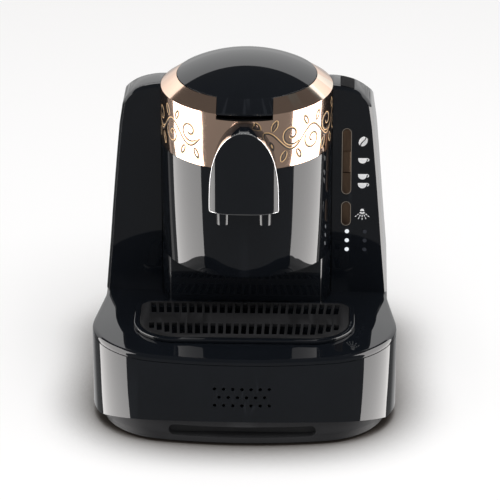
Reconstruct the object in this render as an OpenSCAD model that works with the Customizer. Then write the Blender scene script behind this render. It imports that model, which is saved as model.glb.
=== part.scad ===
// Electric Turkish coffee maker: a brewing drum over a drip tray, two wing panels, a water tank behind.
// Millimetres. X is to the right, +Y to the rear, +Z up. The origin is on the ground, in the middle
// of the width and of the depth.

/* [Base] */
// Widest part of the base
base_w = 262.5; // [256:0.5:275]
// Overall depth, front of the base to the cable gland
depth = 275; // [268:1:285]
// Radius of the two front corners
front_corner_r = 68; // [56:1:74]
// Radius of the slight bow across the front
bow_r = 418; // [350:1:600]
// Angle at which the sides of the base run in behind the front corners
side_taper = 8.1; // [6:0.1:11]
// How far each side runs in behind the front corners
waist_in = 7.75; // [6:0.25:11]
// Radius of the rear corners
rear_corner_r = 30; // [20:1:40]
// Height of the rubber feet
foot_h = 3; // [2:0.5:5]
// Radius of the rubber feet
foot_r = 10; // [7:0.5:13]
// Lower edge of the base shell above the ground
shell_bottom_z = 10; // [9:0.5:13]
// How far the lower edge rises towards the front
shell_rise = 14.7; // [8:0.1:16]
// Height of the seam between base shell and base cover
seam_z = 77.6; // [75:0.2:82]
// Height of the rounded edge of the base cover
cover_edge_h = 5.4; // [4.6:0.1:8]
// Radius of the rounded edge of the base cover
cover_edge_r = 4; // [2:0.5:4.5]
// Height of the crowned deck above that edge
crown_h = 2; // [1:0.5:3.5]
// Side margin of the oval deck
deck_margin = 20.75; // [18:0.25:24]
// Front edge of the oval deck, ahead of the origin
deck_front = 116; // [113:0.5:120]
// Wall of the outer shells
wall = 2.6; // [2:0.1:3]
// Wall of the wells, trays and the tank
thin_wall = 2; // [1.5:0.1:2.4]
// How far the plinth stands in at each side
plinth_in = 9.25; // [8:0.25:13]
// Front of the plinth, ahead of the origin
plinth_front = 134; // [131:0.5:134]
// Width of the grip recess in the plinth
grip_w = 126; // [80:1:136]
// Height of the grip recess
grip_h = 10.3; // [6:0.1:12]
// Depth of the grip recess
grip_depth = 12; // [6:0.5:16]
// Pitch of the sound holes
sound_pitch = 7.75; // [6:0.05:9]
// Diameter of the sound holes
sound_d = 3; // [2:0.1:4]
// Height of the middle row of sound holes
sound_z = 48; // [44:0.5:50]

/* [Drip tray] */
// Side margin of the tray
tray_margin = 36.25; // [33:0.25:41]
// Front edge of the tray rim, ahead of the origin
tray_front = 109; // [106:0.5:111]
// Rear edge of the tray rim, ahead of the origin
tray_rear = 29.5; // [29:0.5:34]
// Radius of the front corners of the tray
tray_corner_r = 38; // [28:1:38]
// Radius of the rear corners of the tray
tray_rear_r = 16; // [12:1:20]
// Depth of the tray below the deck
tray_depth = 20; // [14:0.5:22]
// Height of the tray rim above the deck
rim_h = 3.4; // [3.2:0.1:4]
// Width of the tray rim
rim_w = 5; // [4:0.5:6]
// Thickness of the drip grille
grille_t = 3; // [2:0.1:3.1]
// Pitch of the grille ribs
rib_pitch = 6.6; // [5.5:0.1:8]
// Width of a grille rib
rib_w = 2.2; // [1.6:0.1:2.6]

/* [Tower] */
// Front plane of the wing panels, behind the origin
tower_front = 2.3; // [0:0.1:3]
// Top of the shoulders
shoulder_z = 277; // [272:0.5:277]
// How far each side of the tower leans in up to the shoulders
shoulder_in = 14.25; // [11:0.25:17]
// Radius of the outer shoulder corners
shoulder_r = 12; // [6:0.5:14]
// Rear end of the level shoulders
shoulder_rear = 31; // [30:0.5:36]
// Height of the roof at the rear
roof_rear_z = 233; // [226:0.5:238]
// Depth of the wing panels
panel_depth = 6.7; // [5.5:0.1:9]
// Bevel round the front of the wing panels
panel_bevel = 2.2; // [1:0.1:3]
// Wall of the wing panels
panel_wall = 3; // [2.4:0.1:3.4]

/* [Drum] */
// Radius of the drum and the collar
drum_r = 74; // [73:0.5:76]
// Drum axis behind the origin
drum_y = 7; // [5:0.5:8]
// Underside of the drum
drum_bottom_z = 128; // [120:1:140]
// Lower edge of the collar band
band_bottom_z = 227.5; // [219:0.5:230]
// Upper edge of the collar band
band_top_z = 277.2; // [277.2:0.2:279]
// Height of the bevel ring on the collar
bevel_h = 9.4; // [8:0.2:10.4]
// Wall of the collar
collar_wall = 2; // [1.4:0.1:2.4]
// Radius of the lid
lid_r = 60.25; // [59:0.25:62]
// Rise of the domed lid over its edge
lid_rise = 15.9; // [13:0.1:18]
// Thickness of the lid
lid_wall = 2.5; // [1.8:0.1:3]
// Width of the lifting tongue on the lid
tongue_w = 47.5; // [36:0.5:56]
// Height of the finger slot below the tongue
finger_h = 4.4; // [4.2:0.1:5.4]
// Rear wall of the cup bay, ahead of the origin
bay_wall = 28; // [26:0.5:28.5]
// Behind the origin, the hinge of the lid
lid_hinge_y = 74; // [73.5:0.25:74.5]
// How far the lid hinge lies below the top of the band
lid_hinge_drop = 1.2; // [0.8:0.1:1.6]
// Radius of the lid hinge pin
hinge_pin_r = 1.75; // [1.25:0.25:2]

/* [Pod] */
// Half width of the spout pod
pod_half_w = 28.75; // [27:0.25:31]
// Lower edge of the pod
pod_bottom_z = 197; // [194:0.5:200]
// Top of the pod's arch
pod_top_z = 270.5; // [262:0.5:272]
// Radius across the front of the pod
pod_front_r = 65; // [58:1:80]
// Foremost point of the pod, ahead of the origin
pod_front = 90; // [88:0.5:94]
// Wall of the pod
pod_wall = 2.2; // [1.6:0.1:2.8]
// Distance between the two spouts
spout_gap = 36; // [32:0.2:38]
// Outer radius of a spout
spout_r = 5; // [4:0.25:5.5]
// Bore of a spout
spout_bore_r = 3.4; // [2.5:0.1:3.5]
// Length of the spouts below the spout block
spout_len = 11; // [7:0.5:14]
// Distance of the spouts ahead of the origin
spout_y = 80; // [79:0.25:81]

/* [Controls] */
// How far the button strip sits inwards of the middle of the wing
button_in = 5.125; // [3:0.125:7]
// Width of a button
button_w = 6.6; // [5:0.1:7]
// Height of a button
button_h = 19.7; // [16:0.1:21]
// Gap between neighbouring buttons
button_gap = 0.5; // [0.4:0.1:1]
// How far the strip of three buttons ends below the shoulder
strip_drop = 39.2; // [35:0.1:41]
// Gap between the strip and the rinse button
rinse_gap = 8.7; // [4:0.1:10]
// How far a button stands proud
button_proud = 1.4; // [0.6:0.1:2]
// Travel of a button
button_travel = 1.2; // [0.8:0.1:1.4]
// Radius of an indicator light
light_r = 1.8; // [1.2:0.1:2.2]
// How far the highest indicator light sits below the rinse button
light_drop = 6.5; // [4:0.1:10]
// Pitch of the indicator lights
light_pitch = 8.6; // [6:0.1:9]
// Distance between the two columns of lights
light_gap = 15.5; // [12:0.25:17]
// Width of the power key
key_w = 11.5; // [8:0.25:14]
// Front end of the power key, behind the front of the panel
key_front = 4.2; // [4:0.1:5]
// Length of the power key
key_len = 22.5; // [16:0.5:23]
// How far the power key stands proud
key_proud = 0.6; // [0.4:0.1:1.4]
// Travel of the power key
key_travel = 2; // [1:0.1:2.2]

/* [Tank] */
// Side margin of the water tank
tank_margin = 37.5; // [35.5:0.5:46]
// Front of the water tank, behind the origin
tank_front = 93; // [92.5:0.25:95]
// Thickness of the tank lid
tank_lid_t = 3; // [2.4:0.1:4]
// Distance of the tank outlet to the left of the middle
outlet_x = 50; // [46:0.5:54]
// Outer radius of the tank outlet
nipple_r = 5.5; // [4.5:0.1:5.8]
// Distance of the float to the right of the middle
float_x = 50; // [40:0.5:56]
// Radius of the float
float_r = 9; // [7:0.25:11]
// Travel of the float
float_travel = 80; // [60:1:90]

/* [Works] */
// Outer radius of the brewing pot
pot_r = 50; // [47:0.25:50.5]
// Underside of the brewing pot
pot_bottom_z = 212; // [210:0.5:214]
// Wall of the brewing pot
pot_wall = 1.5; // [1:0.1:2]
// Radius of the opening over the pot
mouth_r = 48; // [44:0.25:48.5]
// Thickness of the heater plate
heater_t = 6; // [4:0.5:7]
// Height of the brew tube
tube_z = 200.25; // [200:0.25:201.5]
// Travel of the valve plunger
plunger_travel = 7; // [5:0.5:7.5]
// Radius of the valve plunger
plunger_r = 3.4; // [2.6:0.1:3.6]
// Radius of the pump body
pump_r = 16; // [13:0.5:18]
// Radius of the hoses
hose_r = 3.5; // [2.5:0.25:3.6]
// Bore of the cable gland
gland_bore_r = 3.6; // [3:0.1:4.2]
// How far the cable gland stands out behind
gland_proud = 3.5; // [3:0.1:5]

/* [Fits] */
// Gap between neighbouring pieces that come apart
gap = 0.3; // [0.2:0.05:0.4]
// Radial clearance of pins and shafts
run = 0.08; // [0.04:0.01:0.1]

/* [Hidden] */
$fn = 96;

gloss_black = [0.07, 0.075, 0.085];
satin_black = [0.12, 0.12, 0.13];
dark_grey = [0.2, 0.2, 0.21];
copper = [0.78, 0.55, 0.42];
steel = [0.72, 0.73, 0.75];
rubber_grey = [0.3, 0.3, 0.32];

// Places worked out from the driving sizes
big = 400;
rear_y = depth / 2 - gland_proud;
waist_w = base_w - 2 * waist_in;
shoulder_w = waist_w - 2 * shoulder_in;
plinth_half_w = base_w / 2 - plinth_in;
deck_half_w = base_w / 2 - deck_margin;
tray_w = base_w - 2 * tray_margin;
tank_half_w = waist_w / 2 - tank_margin;
button_x = (drum_r + shoulder_w / 2) / 2 - button_in;
edge_z = seam_z + cover_edge_h;
deck_z = edge_z + crown_h;
pan_t = 3;
pan_floor_z = foot_h + pan_t;
foot_x = plinth_half_w - 30;
foot_rows = [-78, 108];
foot_peg_r = 3;
lean = atan((waist_w - shoulder_w) / 2 / (shoulder_z - edge_z));
roof_slope = (shoulder_z - roof_rear_z) / (rear_y - shoulder_rear);
panel_back = tower_front + panel_depth;
shell_front = panel_back + gap;
deck_half_y = 66;
tray_floor_z = deck_z - tray_depth;
bay_y = -bay_wall;
// Lid and collar
collar_in_r = lid_r + gap;
liner_z = band_top_z - 12.7;
liner_t = 3;
upstand_r = 57;
upstand_t = 2.5;
seat_z = band_top_z + 2.8;
lid_inner_z = seat_z + 2.4;
bevel_top_z = band_top_z + bevel_h;
bevel_slope = bevel_h / (drum_r - collar_in_r);
lid_edge_z = bevel_top_z + 0.5;
lid_top_z = lid_edge_z + lid_rise;
lid_hinge_z = band_top_z - lid_hinge_drop;
lid_sphere_r = (pow(lid_r, 2) + pow(lid_rise, 2)) / (2 * lid_rise);
tongue_end_z = band_top_z + 0.6;
tongue_tip = 1.2;
slot_z = tongue_end_z - tongue_tip - finger_h;
knuckle_r = 4;
knuckle_half = 11;
lug_t = 4;
// Pod
pod_axis_y = -pod_front + pod_front_r;
block_bottom_z = pod_bottom_z - 2;
block_top_z = block_bottom_z + 11;
// Pot, heater and valve
flange_r = pot_r + 6;
gasket_t = 2;
flange_z = liner_z - gasket_t - pot_wall;
frame_t = 4;
spigot_r = 6;
heater_z = pot_bottom_z - heater_t;
heater_r = pot_r - 4;
element_r = 3.5;
valve_r = 9;
valve_face_y = drum_y - valve_r - 2;
valve_bottom_z = 184;
coil_r = 13;
coil_bottom_z = 156;
plunger_top_z = heater_z - 2;
spring_floor_z = coil_bottom_z + 2;
spring_solid_h = 5;
plunger_bottom_z = spring_floor_z + spring_solid_h + plunger_travel;
post_r = 4;
post_spots = [[64, 0], [30, 56.5]];
// Controls
switch_front = panel_back + 0.6;
ui_y = switch_front + 3.5;
switch_top_z = shoulder_z - 13;
strip_h = 3 * button_h + 2 * button_gap;
strip_z = shoulder_z - strip_drop - strip_h;
rinse_h = button_h + 1.4;
rinse_z = strip_z - rinse_gap - rinse_h;
light_z = rinse_z - light_drop - 2 * light_pitch;
ui_boss_spots = [for (x = [-4, 18.5]) [button_x + x, light_z - 6],
    for (x = [-4, 9.5]) [button_x + x, strip_z + strip_h + 5]];
light_spots = [for (c = [0, 1], k = [0:2]) [button_x + 1 + c * light_gap, light_z + k * light_pitch]];
key_y0 = tower_front + key_front;
key_y1 = key_y0 + key_len;
// Tank
well_floor_z = deck_z;
well_floor_t = 2.2;
tank_bottom_z = well_floor_z + well_floor_t + gap;
tank_y = (tank_front + rear_y) / 2;
nipple_bottom_z = tank_bottom_z - 10.5;
valve_head_z = tank_bottom_z + thin_wall;
cage_h = 13;
tank_knuckle_r = gland_proud / 2;
tank_pin_r = 0.8;
tank_hinge_y = rear_y + tank_knuckle_r;
tank_hinge_z = roof_rear_z - tank_lid_t - 1;
dock_r = 10;
dock_bottom_z = nipple_bottom_z - 10;
seal_z = nipple_bottom_z + 5;
// Hoses and electrics
pump_y = 52;
pump_z = 32;
pump_x = [16, 82];
pump_out_x = pump_x[0] + 8;
nozzle_angle = 45;
nozzle_ring_r = 63.6;
nozzle_xy = [nozzle_ring_r * sin(nozzle_angle), drum_y + nozzle_ring_r * cos(nozzle_angle)];
nozzle_z = liner_z + 8.5;
nozzle_low_z = flange_z - 21;
nozzle_r = 3;
gland_x = 70;
gland_z = 44;
gland_neck_r = gland_bore_r + 2.4;
board_x = [-(waist_w / 2 - 19.5), -(waist_w / 2 - 109.5)];
board_y = [-22, 56];
board_mid = (board_x[0] + board_x[1]) / 2;
board_mid_y = (board_y[0] + board_y[1]) / 2;
board_z = 20;
screw_spots = [[waist_w / 2 - 19.5, -45], [waist_w / 2 - 21.5, 96]];
casing_spots = [[waist_w / 2 - 11.5, 28], [waist_w / 2 - 12.5, 84]];

// ---- shared shapes -------------------------------------------------------------------------

function roof_z(y) = y < shoulder_rear ? shoulder_z : shoulder_z - roof_slope * (y - shoulder_rear);

function oval(half_x, half_y, power, count = 64) = [for (i = [0:count - 1]) let (t = 360 * i / count)
    [half_x * sign(cos(t)) * pow(abs(cos(t)), 2 / power),
     half_y * sign(sin(t)) * pow(abs(sin(t)), 2 / power)]];

// Plan of the base: bowed front, large front corners, sides that run in, rear corners
module footprint(inset = 0, half_w = base_w / 2, corner_r = front_corner_r, front = depth / 2,
                 tail = waist_w / 2) {
    cx = half_w - corner_r;
    apex = bow_r - front;
    cy = apex - sqrt(pow(bow_r - corner_r, 2) - pow(cx, 2));
    r = corner_r - inset;
    reach = (bow_r + 20) / (bow_r - corner_r);
    side = [[cx, cy],
        [cx + r * cos(side_taper), cy + r * sin(side_taper)],
        [tail - inset, cy + (cx + r / cos(side_taper) - tail + inset) / tan(side_taper)],
        [tail - inset, rear_y - rear_corner_r],
        [tail - rear_corner_r, rear_y - inset]];
    polygon(concat(side, [for (i = [4:-1:0]) [-side[i][0], side[i][1]]]));
    for (s = [-1, 1]) {
        translate([s * cx, cy]) circle(r);
        translate([s * (tail - rear_corner_r), rear_y - rear_corner_r]) circle(rear_corner_r - inset);
    }
    intersection() {
        translate([0, apex]) circle(bow_r - inset);
        polygon([[-cx, cy], [-cx * reach, apex + (cy - apex) * reach],
                 [cx * reach, apex + (cy - apex) * reach], [cx, cy]]);
    }
}

// Plan with two front and two rear corner radii, between two depths
module rounded_plan(half_w, y0, y1, r0, r1, grow = 0) {
    x = half_w + grow;
    polygon([[-x, y0 + r0], [-half_w + r0, y0 - grow], [half_w - r0, y0 - grow], [x, y0 + r0],
             [x, y1 - r1], [half_w - r1, y1 + grow], [-half_w + r1, y1 + grow], [-x, y1 - r1]]);
    for (s = [-1, 1]) {
        translate([s * (half_w - r0), y0 + r0]) circle(r0 + grow);
        translate([s * (half_w - r1), y1 - r1]) circle(r1 + grow);
    }
}

module slab(z0, z1) translate([0, 0, z0]) linear_extrude(z1 - z0) children();

module block(x0, x1, y0, y1, z0, z1) translate([x0, y0, z0]) cube([x1 - x0, y1 - y0, z1 - z0]);

// Cylinder along X, Y or Z by its two ends
module rod_x(x0, x1, y, z, r) translate([x0, y, z]) rotate([0, 90, 0]) cylinder(h = x1 - x0, r = r);
module rod_y(x, y0, y1, z, r) translate([x, y0, z]) rotate([-90, 0, 0]) cylinder(h = y1 - y0, r = r);
module rod_z(x, y, z0, z1, r) translate([x, y, z0]) cylinder(h = z1 - z0, r = r);

// Cylinder about the drum's axis
module drum_rod(z0, z1, r) rod_z(0, drum_y, z0, z1, r);

// Side outline, Y across and Z up, drawn across the whole width
module side_prism(half = big / 2) rotate([90, 0, 90]) translate([0, 0, -half]) linear_extrude(2 * half)
    children();

// Front outline, X across and Z up, between two depths
module front_prism(y0, y1) translate([0, y1, 0]) rotate([90, 0, 0]) linear_extrude(y1 - y0) children();

// Hose swept along hand-placed points, whose corners are rounded first; ref is a direction that no
// length of the hose runs along
function unit(v) = v / norm(v);
function cut_corners(p) = concat([p[0]], [for (i = [1:len(p) - 2], k = [0, 1])
    k == 0 ? p[i] * 0.75 + p[i - 1] * 0.25 : p[i] * 0.75 + p[i + 1] * 0.25], [p[len(p) - 1]]);
module hose(points, r, ref) {
    sides = 12;
    p = cut_corners(cut_corners(points));
    last = len(p) - 1;
    rings = [for (i = [0:last]) let (
        dir = i == 0 ? unit(p[1] - p[0]) : i == last ? unit(p[last] - p[last - 1])
            : unit(unit(p[i + 1] - p[i]) + unit(p[i] - p[i - 1])),
        side = unit(cross(ref, dir)),
        up = cross(dir, side))
        for (k = [0:sides - 1]) p[i] + r * (cos(360 * k / sides) * side + sin(360 * k / sides) * up)];
    walls = [for (i = [0:last - 1], k = [0:sides - 1])
        [i * sides + k, (i + 1) * sides + k, (i + 1) * sides + (k + 1) % sides,
         i * sides + (k + 1) % sides]];
    ends = [[for (k = [0:sides - 1]) k], [for (k = [sides - 1:-1:0]) last * sides + k]];
    polyhedron(rings, concat(walls, ends));
}

// Coil spring along Z, six sides to the wire
module coil(z0, z1, r, wire, turns) {
    count = 14 * turns;
    sides = 6;
    rise = z1 - z0 - 2 * wire;
    rings = [for (i = [0:count], k = [0:sides - 1])
        let (t = 360 * turns * i / count, u = 360 * k / sides)
        [(r + wire * cos(u)) * cos(t), (r + wire * cos(u)) * sin(t),
         z0 + wire + rise * i / count + wire * sin(u)]];
    walls = [for (i = [0:count - 1], k = [0:sides - 1])
        [i * sides + k, (i + 1) * sides + k, (i + 1) * sides + (k + 1) % sides,
         i * sides + (k + 1) % sides]];
    ends = [[for (k = [0:sides - 1]) k], [for (k = [sides - 1:-1:0]) count * sides + k]];
    polyhedron(rings, concat(walls, ends));
}

// ---- base ----------------------------------------------------------------------------------

module plinth_plan(inset = 0) footprint(inset, plinth_half_w, front_corner_r - 7.6, plinth_front,
                                        waist_w / 2 - 4);

module base_pan() color(dark_grey) {
    wall_in = wall + gap;
    rim_z = shell_bottom_z + shell_rise + 6;
    ledge_z = shell_bottom_z;
    grip_z = pan_floor_z + 2;
    difference() {
        union() {
            slab(foot_h, ledge_z) plinth_plan();
            slab(ledge_z, rim_z) footprint(wall_in);
            for (s = [-1, 1], p = screw_spots) rod_z(s * p[0], p[1], foot_h, ledge_z + pan_t, 6.5);
        }
        difference() {
            union() {
                slab(pan_floor_z, ledge_z + pan_t + 1) intersection() {
                    plinth_plan(thin_wall);
                    footprint(wall_in + thin_wall);
                }
                slab(ledge_z + pan_t, rim_z + 1) footprint(wall_in + thin_wall);
            }
            block(-grip_w / 2 - thin_wall, grip_w / 2 + thin_wall, -plinth_front,
                  -plinth_front + grip_depth + thin_wall, foot_h, grip_z + grip_h + thin_wall);
            for (s = [-1, 1], p = screw_spots) rod_z(s * p[0], p[1], foot_h, ledge_z, 6.5);
        }
        // Grip recess with round ends
        front_prism(-plinth_front - 5, -plinth_front + grip_depth) {
            translate([-grip_w / 2 + grip_h / 2, grip_z]) square([grip_w - grip_h, grip_h]);
            for (s = [-1, 1])
                translate([s * (grip_w - grip_h) / 2, grip_z + grip_h / 2]) circle(grip_h / 2);
        }
        for (s = [-1, 1], p = screw_spots) {
            rod_z(s * p[0], p[1], foot_h - 1, foot_h + 3.5, 3.6);
            rod_z(s * p[0], p[1], foot_h, ledge_z + pan_t + 1, 1.8);
        }
        for (s = [-1, 1], y = foot_rows) rod_z(s * foot_x, y, foot_h - 1, pan_floor_z + 1, foot_peg_r + run);
    }
    // Standoffs for the main board
    for (x = board_x, y = board_y) rod_z(x + sign(board_mid - x) * 5, y + sign(board_mid_y - y) * 5,
        pan_floor_z, board_z, 3);
}

module feet() color(rubber_grey) for (s = [-1, 1], y = foot_rows) {
    rod_z(s * foot_x, y, 0, foot_h, foot_r);
    rod_z(s * foot_x, y, foot_h, pan_floor_z, foot_peg_r);
}

module base_shell() color(gloss_black) difference() {
    slab(shell_bottom_z, seam_z) footprint();
    slab(shell_bottom_z - 1, seam_z + 1) footprint(wall);
    // The lower edge rises towards the front
    side_prism() polygon([[-95, shell_bottom_z], [-95, -20], [-depth, -20],
                          [-depth, shell_bottom_z + shell_rise * (depth - 95) / (depth / 2 - 95)]]);
    for (row = [-1, 0, 1], i = [0:6]) if (row != 0 || i < 6)
        rod_y((i - (row == 0 ? 2.5 : 3)) * sound_pitch, -depth, -depth / 4, sound_z + row * sound_pitch,
              sound_d / 2);
    rod_y(gland_x, 100, depth, gland_z, gland_neck_r + gap);
    for (i = [0:7]) block(-70 + i * 9, -66 + i * 9, rear_y - 10, rear_y + 10, 30, 60);
}

module deck_plan() intersection() {
    translate([0, -deck_front + deck_half_y]) polygon(oval(deck_half_w, deck_half_y, 2.4));
    translate([-big, -big]) square([2 * big, big + tower_front - gap]);
}

module cover_plate() difference() {
    union() {
        steps = 4;
        for (i = [0:steps - 1]) slab(
            i == 0 ? seam_z : edge_z - cover_edge_r * (1 - sin(90 * i / steps)),
            edge_z - cover_edge_r * (1 - sin(90 * (i + 1) / steps)))
            footprint(cover_edge_r * (1 - cos(90 * i / steps)));
        // Crowned deck round the drip tray
        hull() {
            slab(edge_z - 0.5, edge_z) intersection() {
                footprint(cover_edge_r);
                translate([-big, -big]) square([2 * big, big + tower_front - gap]);
            }
            slab(deck_z - 0.1, deck_z) deck_plan();
        }
        drum_rod(edge_z - 1, deck_z, drum_r);
        // Posts for the base screws
        for (s = [-1, 1], p = screw_spots)
            rod_z(s * p[0], p[1], shell_bottom_z + pan_t + gap, seam_z + 3, 4.5);
    }
    difference() {
        slab(seam_z - 1, edge_z - wall) footprint(wall);
        slab(seam_z - 2, deck_z) tray_well(thin_wall + gap);
        for (s = [-1, 1], p = screw_spots) rod_z(s * p[0], p[1], 0, edge_z, 4.5);
    }
    slab(tray_floor_z - gap, deck_z + 5) tray_well(gap);
    difference() {
        rod_z(0, 20, 40, deck_z + 1, 38);
        block(-big, big, -big, bay_y + 8, 0, big);
    }
    rod_z(-outlet_x, tank_y, 60, deck_z, dock_r + 4);
    for (s = [-1, 1], p = screw_spots) rod_z(s * p[0], p[1], 0, 32, 1.5);
    for (s = [-1, 1], p = casing_spots) rod_z(s * p[0], p[1], 60, big, 1.8);
}

// Walls and floor of the well, joined to the cover's plate
module well_box() difference() {
    slab(tray_floor_z - gap - thin_wall, edge_z - 1) tray_well(thin_wall + gap);
    slab(tray_floor_z - gap, deck_z + 5) tray_well(gap);
}

module tray_well(grow) rounded_plan(tray_w / 2 - rim_w, -tray_front + rim_w, -tray_rear - rim_w,
                                    tray_corner_r - rim_w, tray_rear_r - rim_w, grow);

module base_cover() color(gloss_black) {
    cover_plate();
    well_box();
}

module base_screws() color(steel) for (s = [-1, 1], p = screw_spots) {
    rod_z(s * p[0], p[1], foot_h + 0.5, foot_h + 3.5, 3.2);
    rod_z(s * p[0], p[1], foot_h + 3, 28, 1.45);
}

// ---- drip tray -----------------------------------------------------------------------------

module grille_plan(grow = 0) rounded_plan(tray_w / 2 - rim_w, -tray_front + rim_w + 0.5,
    -tray_rear - rim_w + 1.5, tray_corner_r - rim_w, tray_rear_r - rim_w, grow);

module drip_tray() color(gloss_black) difference() {
    union() {
        slab(deck_z, deck_z + rim_h)
            rounded_plan(tray_w / 2, -tray_front, -tray_rear, tray_corner_r, tray_rear_r);
        slab(tray_floor_z, deck_z + 0.1) tray_well(0);
    }
    slab(tray_floor_z + thin_wall, deck_z + rim_h) tray_well(-thin_wall);
    slab(deck_z + rim_h - grille_t, deck_z + rim_h + 1) grille_plan(gap);
}

module drip_grille() color(satin_black) {
    top = deck_z + rim_h;
    rows = [[-tray_front + 12.6, -tray_front + 33.3], [-tray_front + 53.6, -tray_rear - 6]];
    difference() {
        slab(top - grille_t, top) grille_plan(0);
        for (row = rows, i = [-12:12]) {
            x = i * rib_pitch;
            corner = max(0, abs(x) - 62);
            y0 = row[0] + (row == rows[0] ? corner * 0.55 : 0);
            translate([x, (y0 + row[1]) / 2, top - grille_t / 2]) rotate([0, 0, -x * 0.06])
                cube([rib_pitch - rib_w, row[1] - y0, grille_t + 2], center = true);
        }
    }
}

// ---- tower ---------------------------------------------------------------------------------

module tower_outline(inset = 0, below = 0) {
    cx = waist_w / 2 - (shoulder_z - shoulder_r - edge_z) * tan(lean) - shoulder_r / cos(lean);
    cz = shoulder_z - shoulder_r;
    r = shoulder_r - inset;
    side = [[waist_w / 2 - inset / cos(lean) + below * tan(lean), edge_z - below],
            [cx + r * cos(lean), cz + r * sin(lean)],
            [cx, cz + r]];
    polygon(concat(side, [for (i = [2:-1:0]) [-side[i][0], side[i][1]]]));
    for (s = [-1, 1]) translate([s * cx, cz]) circle(r);
}

// The tower between two depths, with a leaning side, a level shoulder and a falling roof
module tower_block(y0, inset = 0, bottom = 0) {
    y1 = rear_y - inset;
    r = rear_corner_r - inset;
    drop = inset * sqrt(1 + pow(roof_slope, 2));
    intersection() {
        for (s = [0, 1]) mirror([s, 0, 0]) translate([waist_w / 2 - inset / cos(lean), 0, edge_z])
            rotate([0, -lean, 0]) translate([0, 0, -40]) linear_extrude(280) {
                translate([-190, y0]) square([190, y1 - r - y0]);
                translate([-190, y0]) square([190 - r, y1 - y0]);
                translate([-r, y1 - r]) circle(r);
            }
        side_prism() polygon([[y0, edge_z - bottom], [y1, edge_z - bottom], [y1, roof_z(y1) - drop],
                              [shoulder_rear, shoulder_z - drop], [y0, shoulder_z - inset]]);
        front_prism(y0, y1) tower_outline(inset, bottom);
    }
}

module panel_blank() hull() {
    front_prism(tower_front, tower_front + 0.2) tower_outline(panel_bevel);
    front_prism(tower_front + 3.4, panel_back) tower_outline(0);
}

module wing_panel(side) difference() {
    panel_blank();
    front_prism(tower_front + panel_wall, panel_back + 1) difference() {
        tower_outline(wall);
        translate([-drum_r - 3, 0]) square([2 * drum_r + 6, big]);
    }
    drum_rod(0, big, drum_r + gap);
    mirror([side > 0 ? 1 : 0, 0, 0]) block(0, big, -big / 2, big / 2, 0, big);
}

module left_panel() color(gloss_black) wing_panel(-1);

module strip_window(z, h, grow) {
    end_r = button_w / 2 + grow;
    hull() for (k = [0, 1]) translate([button_x, z - grow + end_r + k * (h + 2 * grow - 2 * end_r)])
        circle(end_r, $fn = 32);
}

module control_panel() color(gloss_black) {
    difference() {
        wing_panel(1);
        front_prism(0, 8) strip_window(strip_z, strip_h, gap);
        front_prism(0, 8) strip_window(rinse_z, rinse_h, gap);
        for (p = light_spots) rod_y(p[0], -5, 12, p[1], light_r + 0.1);
        key_hole();
    }
    // Bosses for the switch board
    for (p = ui_boss_spots) rod_y(p[0], tower_front + panel_wall - 0.5, ui_y, p[1], 2.6);
}

module key_hole() block(button_x - key_w / 2 - gap, button_x + key_w / 2 + gap, key_y0 - gap,
                        key_y1 + gap, shoulder_z - 20, shoulder_z + 5);

module bay_panel() color(gloss_black) difference() {
    intersection() {
        drum_rod(deck_z, drum_bottom_z, drum_r);
        block(-big, big, bay_y, shell_front + 6, 0, big);
    }
    difference() {
        drum_rod(0, big, drum_r - wall);
        block(-big, big, -big, bay_y + wall, 0, big);
    }
}

module tower_shell() color(gloss_black) difference() {
    union() {
        difference() {
            tower_block(shell_front);
            tower_block(shell_front - 20, wall, 10);
        }
        intersection() {
            tower_block(shell_front);
            union() {
                block(-tank_half_w - gap - thin_wall, tank_half_w + gap + thin_wall,
                      tank_front - gap - thin_wall, big, well_floor_z, big);
                casing_bosses();
            }
        }
    }
    // Open well for the water tank
    block(-tank_half_w - gap, tank_half_w + gap, tank_front - gap, big, well_floor_z + well_floor_t, big);
    drum_rod(150, big, drum_r + gap);
    rod_z(-outlet_x, tank_y, 50, 120, dock_r + run);
    key_hole();
    for (s = [-1, 1], p = casing_spots) rod_z(s * p[0], p[1], 50, edge_z + 20, 1.5);
}

// Bosses for the casing screws, joined to the side walls
module casing_bosses() for (s = [-1, 1], p = casing_spots) {
    rod_z(s * p[0], p[1], edge_z, edge_z + 22, 4.5);
    translate([s * (p[0] + 4) - 5, p[1] - 1.5, edge_z]) cube([10, 3, 22]);
}

module casing_screws() color(steel) for (s = [-1, 1], p = casing_spots) {
    rod_z(s * p[0], p[1], edge_z - wall - 2, edge_z - wall, 3.2);
    rod_z(s * p[0], p[1], edge_z - wall - 1, edge_z + 15, 1.45);
}

// ---- drum, collar and lid ------------------------------------------------------------------

module drum_shell() color(gloss_black) difference() {
    drum_rod(drum_bottom_z, band_bottom_z - gap, drum_r);
    drum_rod(drum_bottom_z + wall, band_bottom_z + 1, drum_r - wall);
    // Open underneath, behind the cup bay
    intersection() {
        drum_rod(drum_bottom_z - 1, band_bottom_z, drum_r - wall);
        block(-big, big, bay_y + wall + 2, big, 0, big);
    }
    rod_y(0, -big / 2, 0, tube_z, 4 + gap);
}

module copper_collar() color(copper) difference() {
    translate([0, drum_y, 0]) rotate_extrude() polygon([
        [drum_r - collar_wall, band_bottom_z], [drum_r, band_bottom_z], [drum_r, band_top_z],
        [collar_in_r, bevel_top_z], [collar_in_r, bevel_top_z - collar_wall - 0.4],
        [drum_r - collar_wall, band_top_z - 1]]);
    // Notch for the tongue and the finger slot at the front, and for the hinge at the rear
    block(-tongue_w / 2 - gap, tongue_w / 2 + gap, -big, drum_y, slot_z, big);
    block(-knuckle_half - lug_t - 4, knuckle_half + lug_t + 4, drum_y, big, liner_z + liner_t + 2, big);
}

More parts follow.
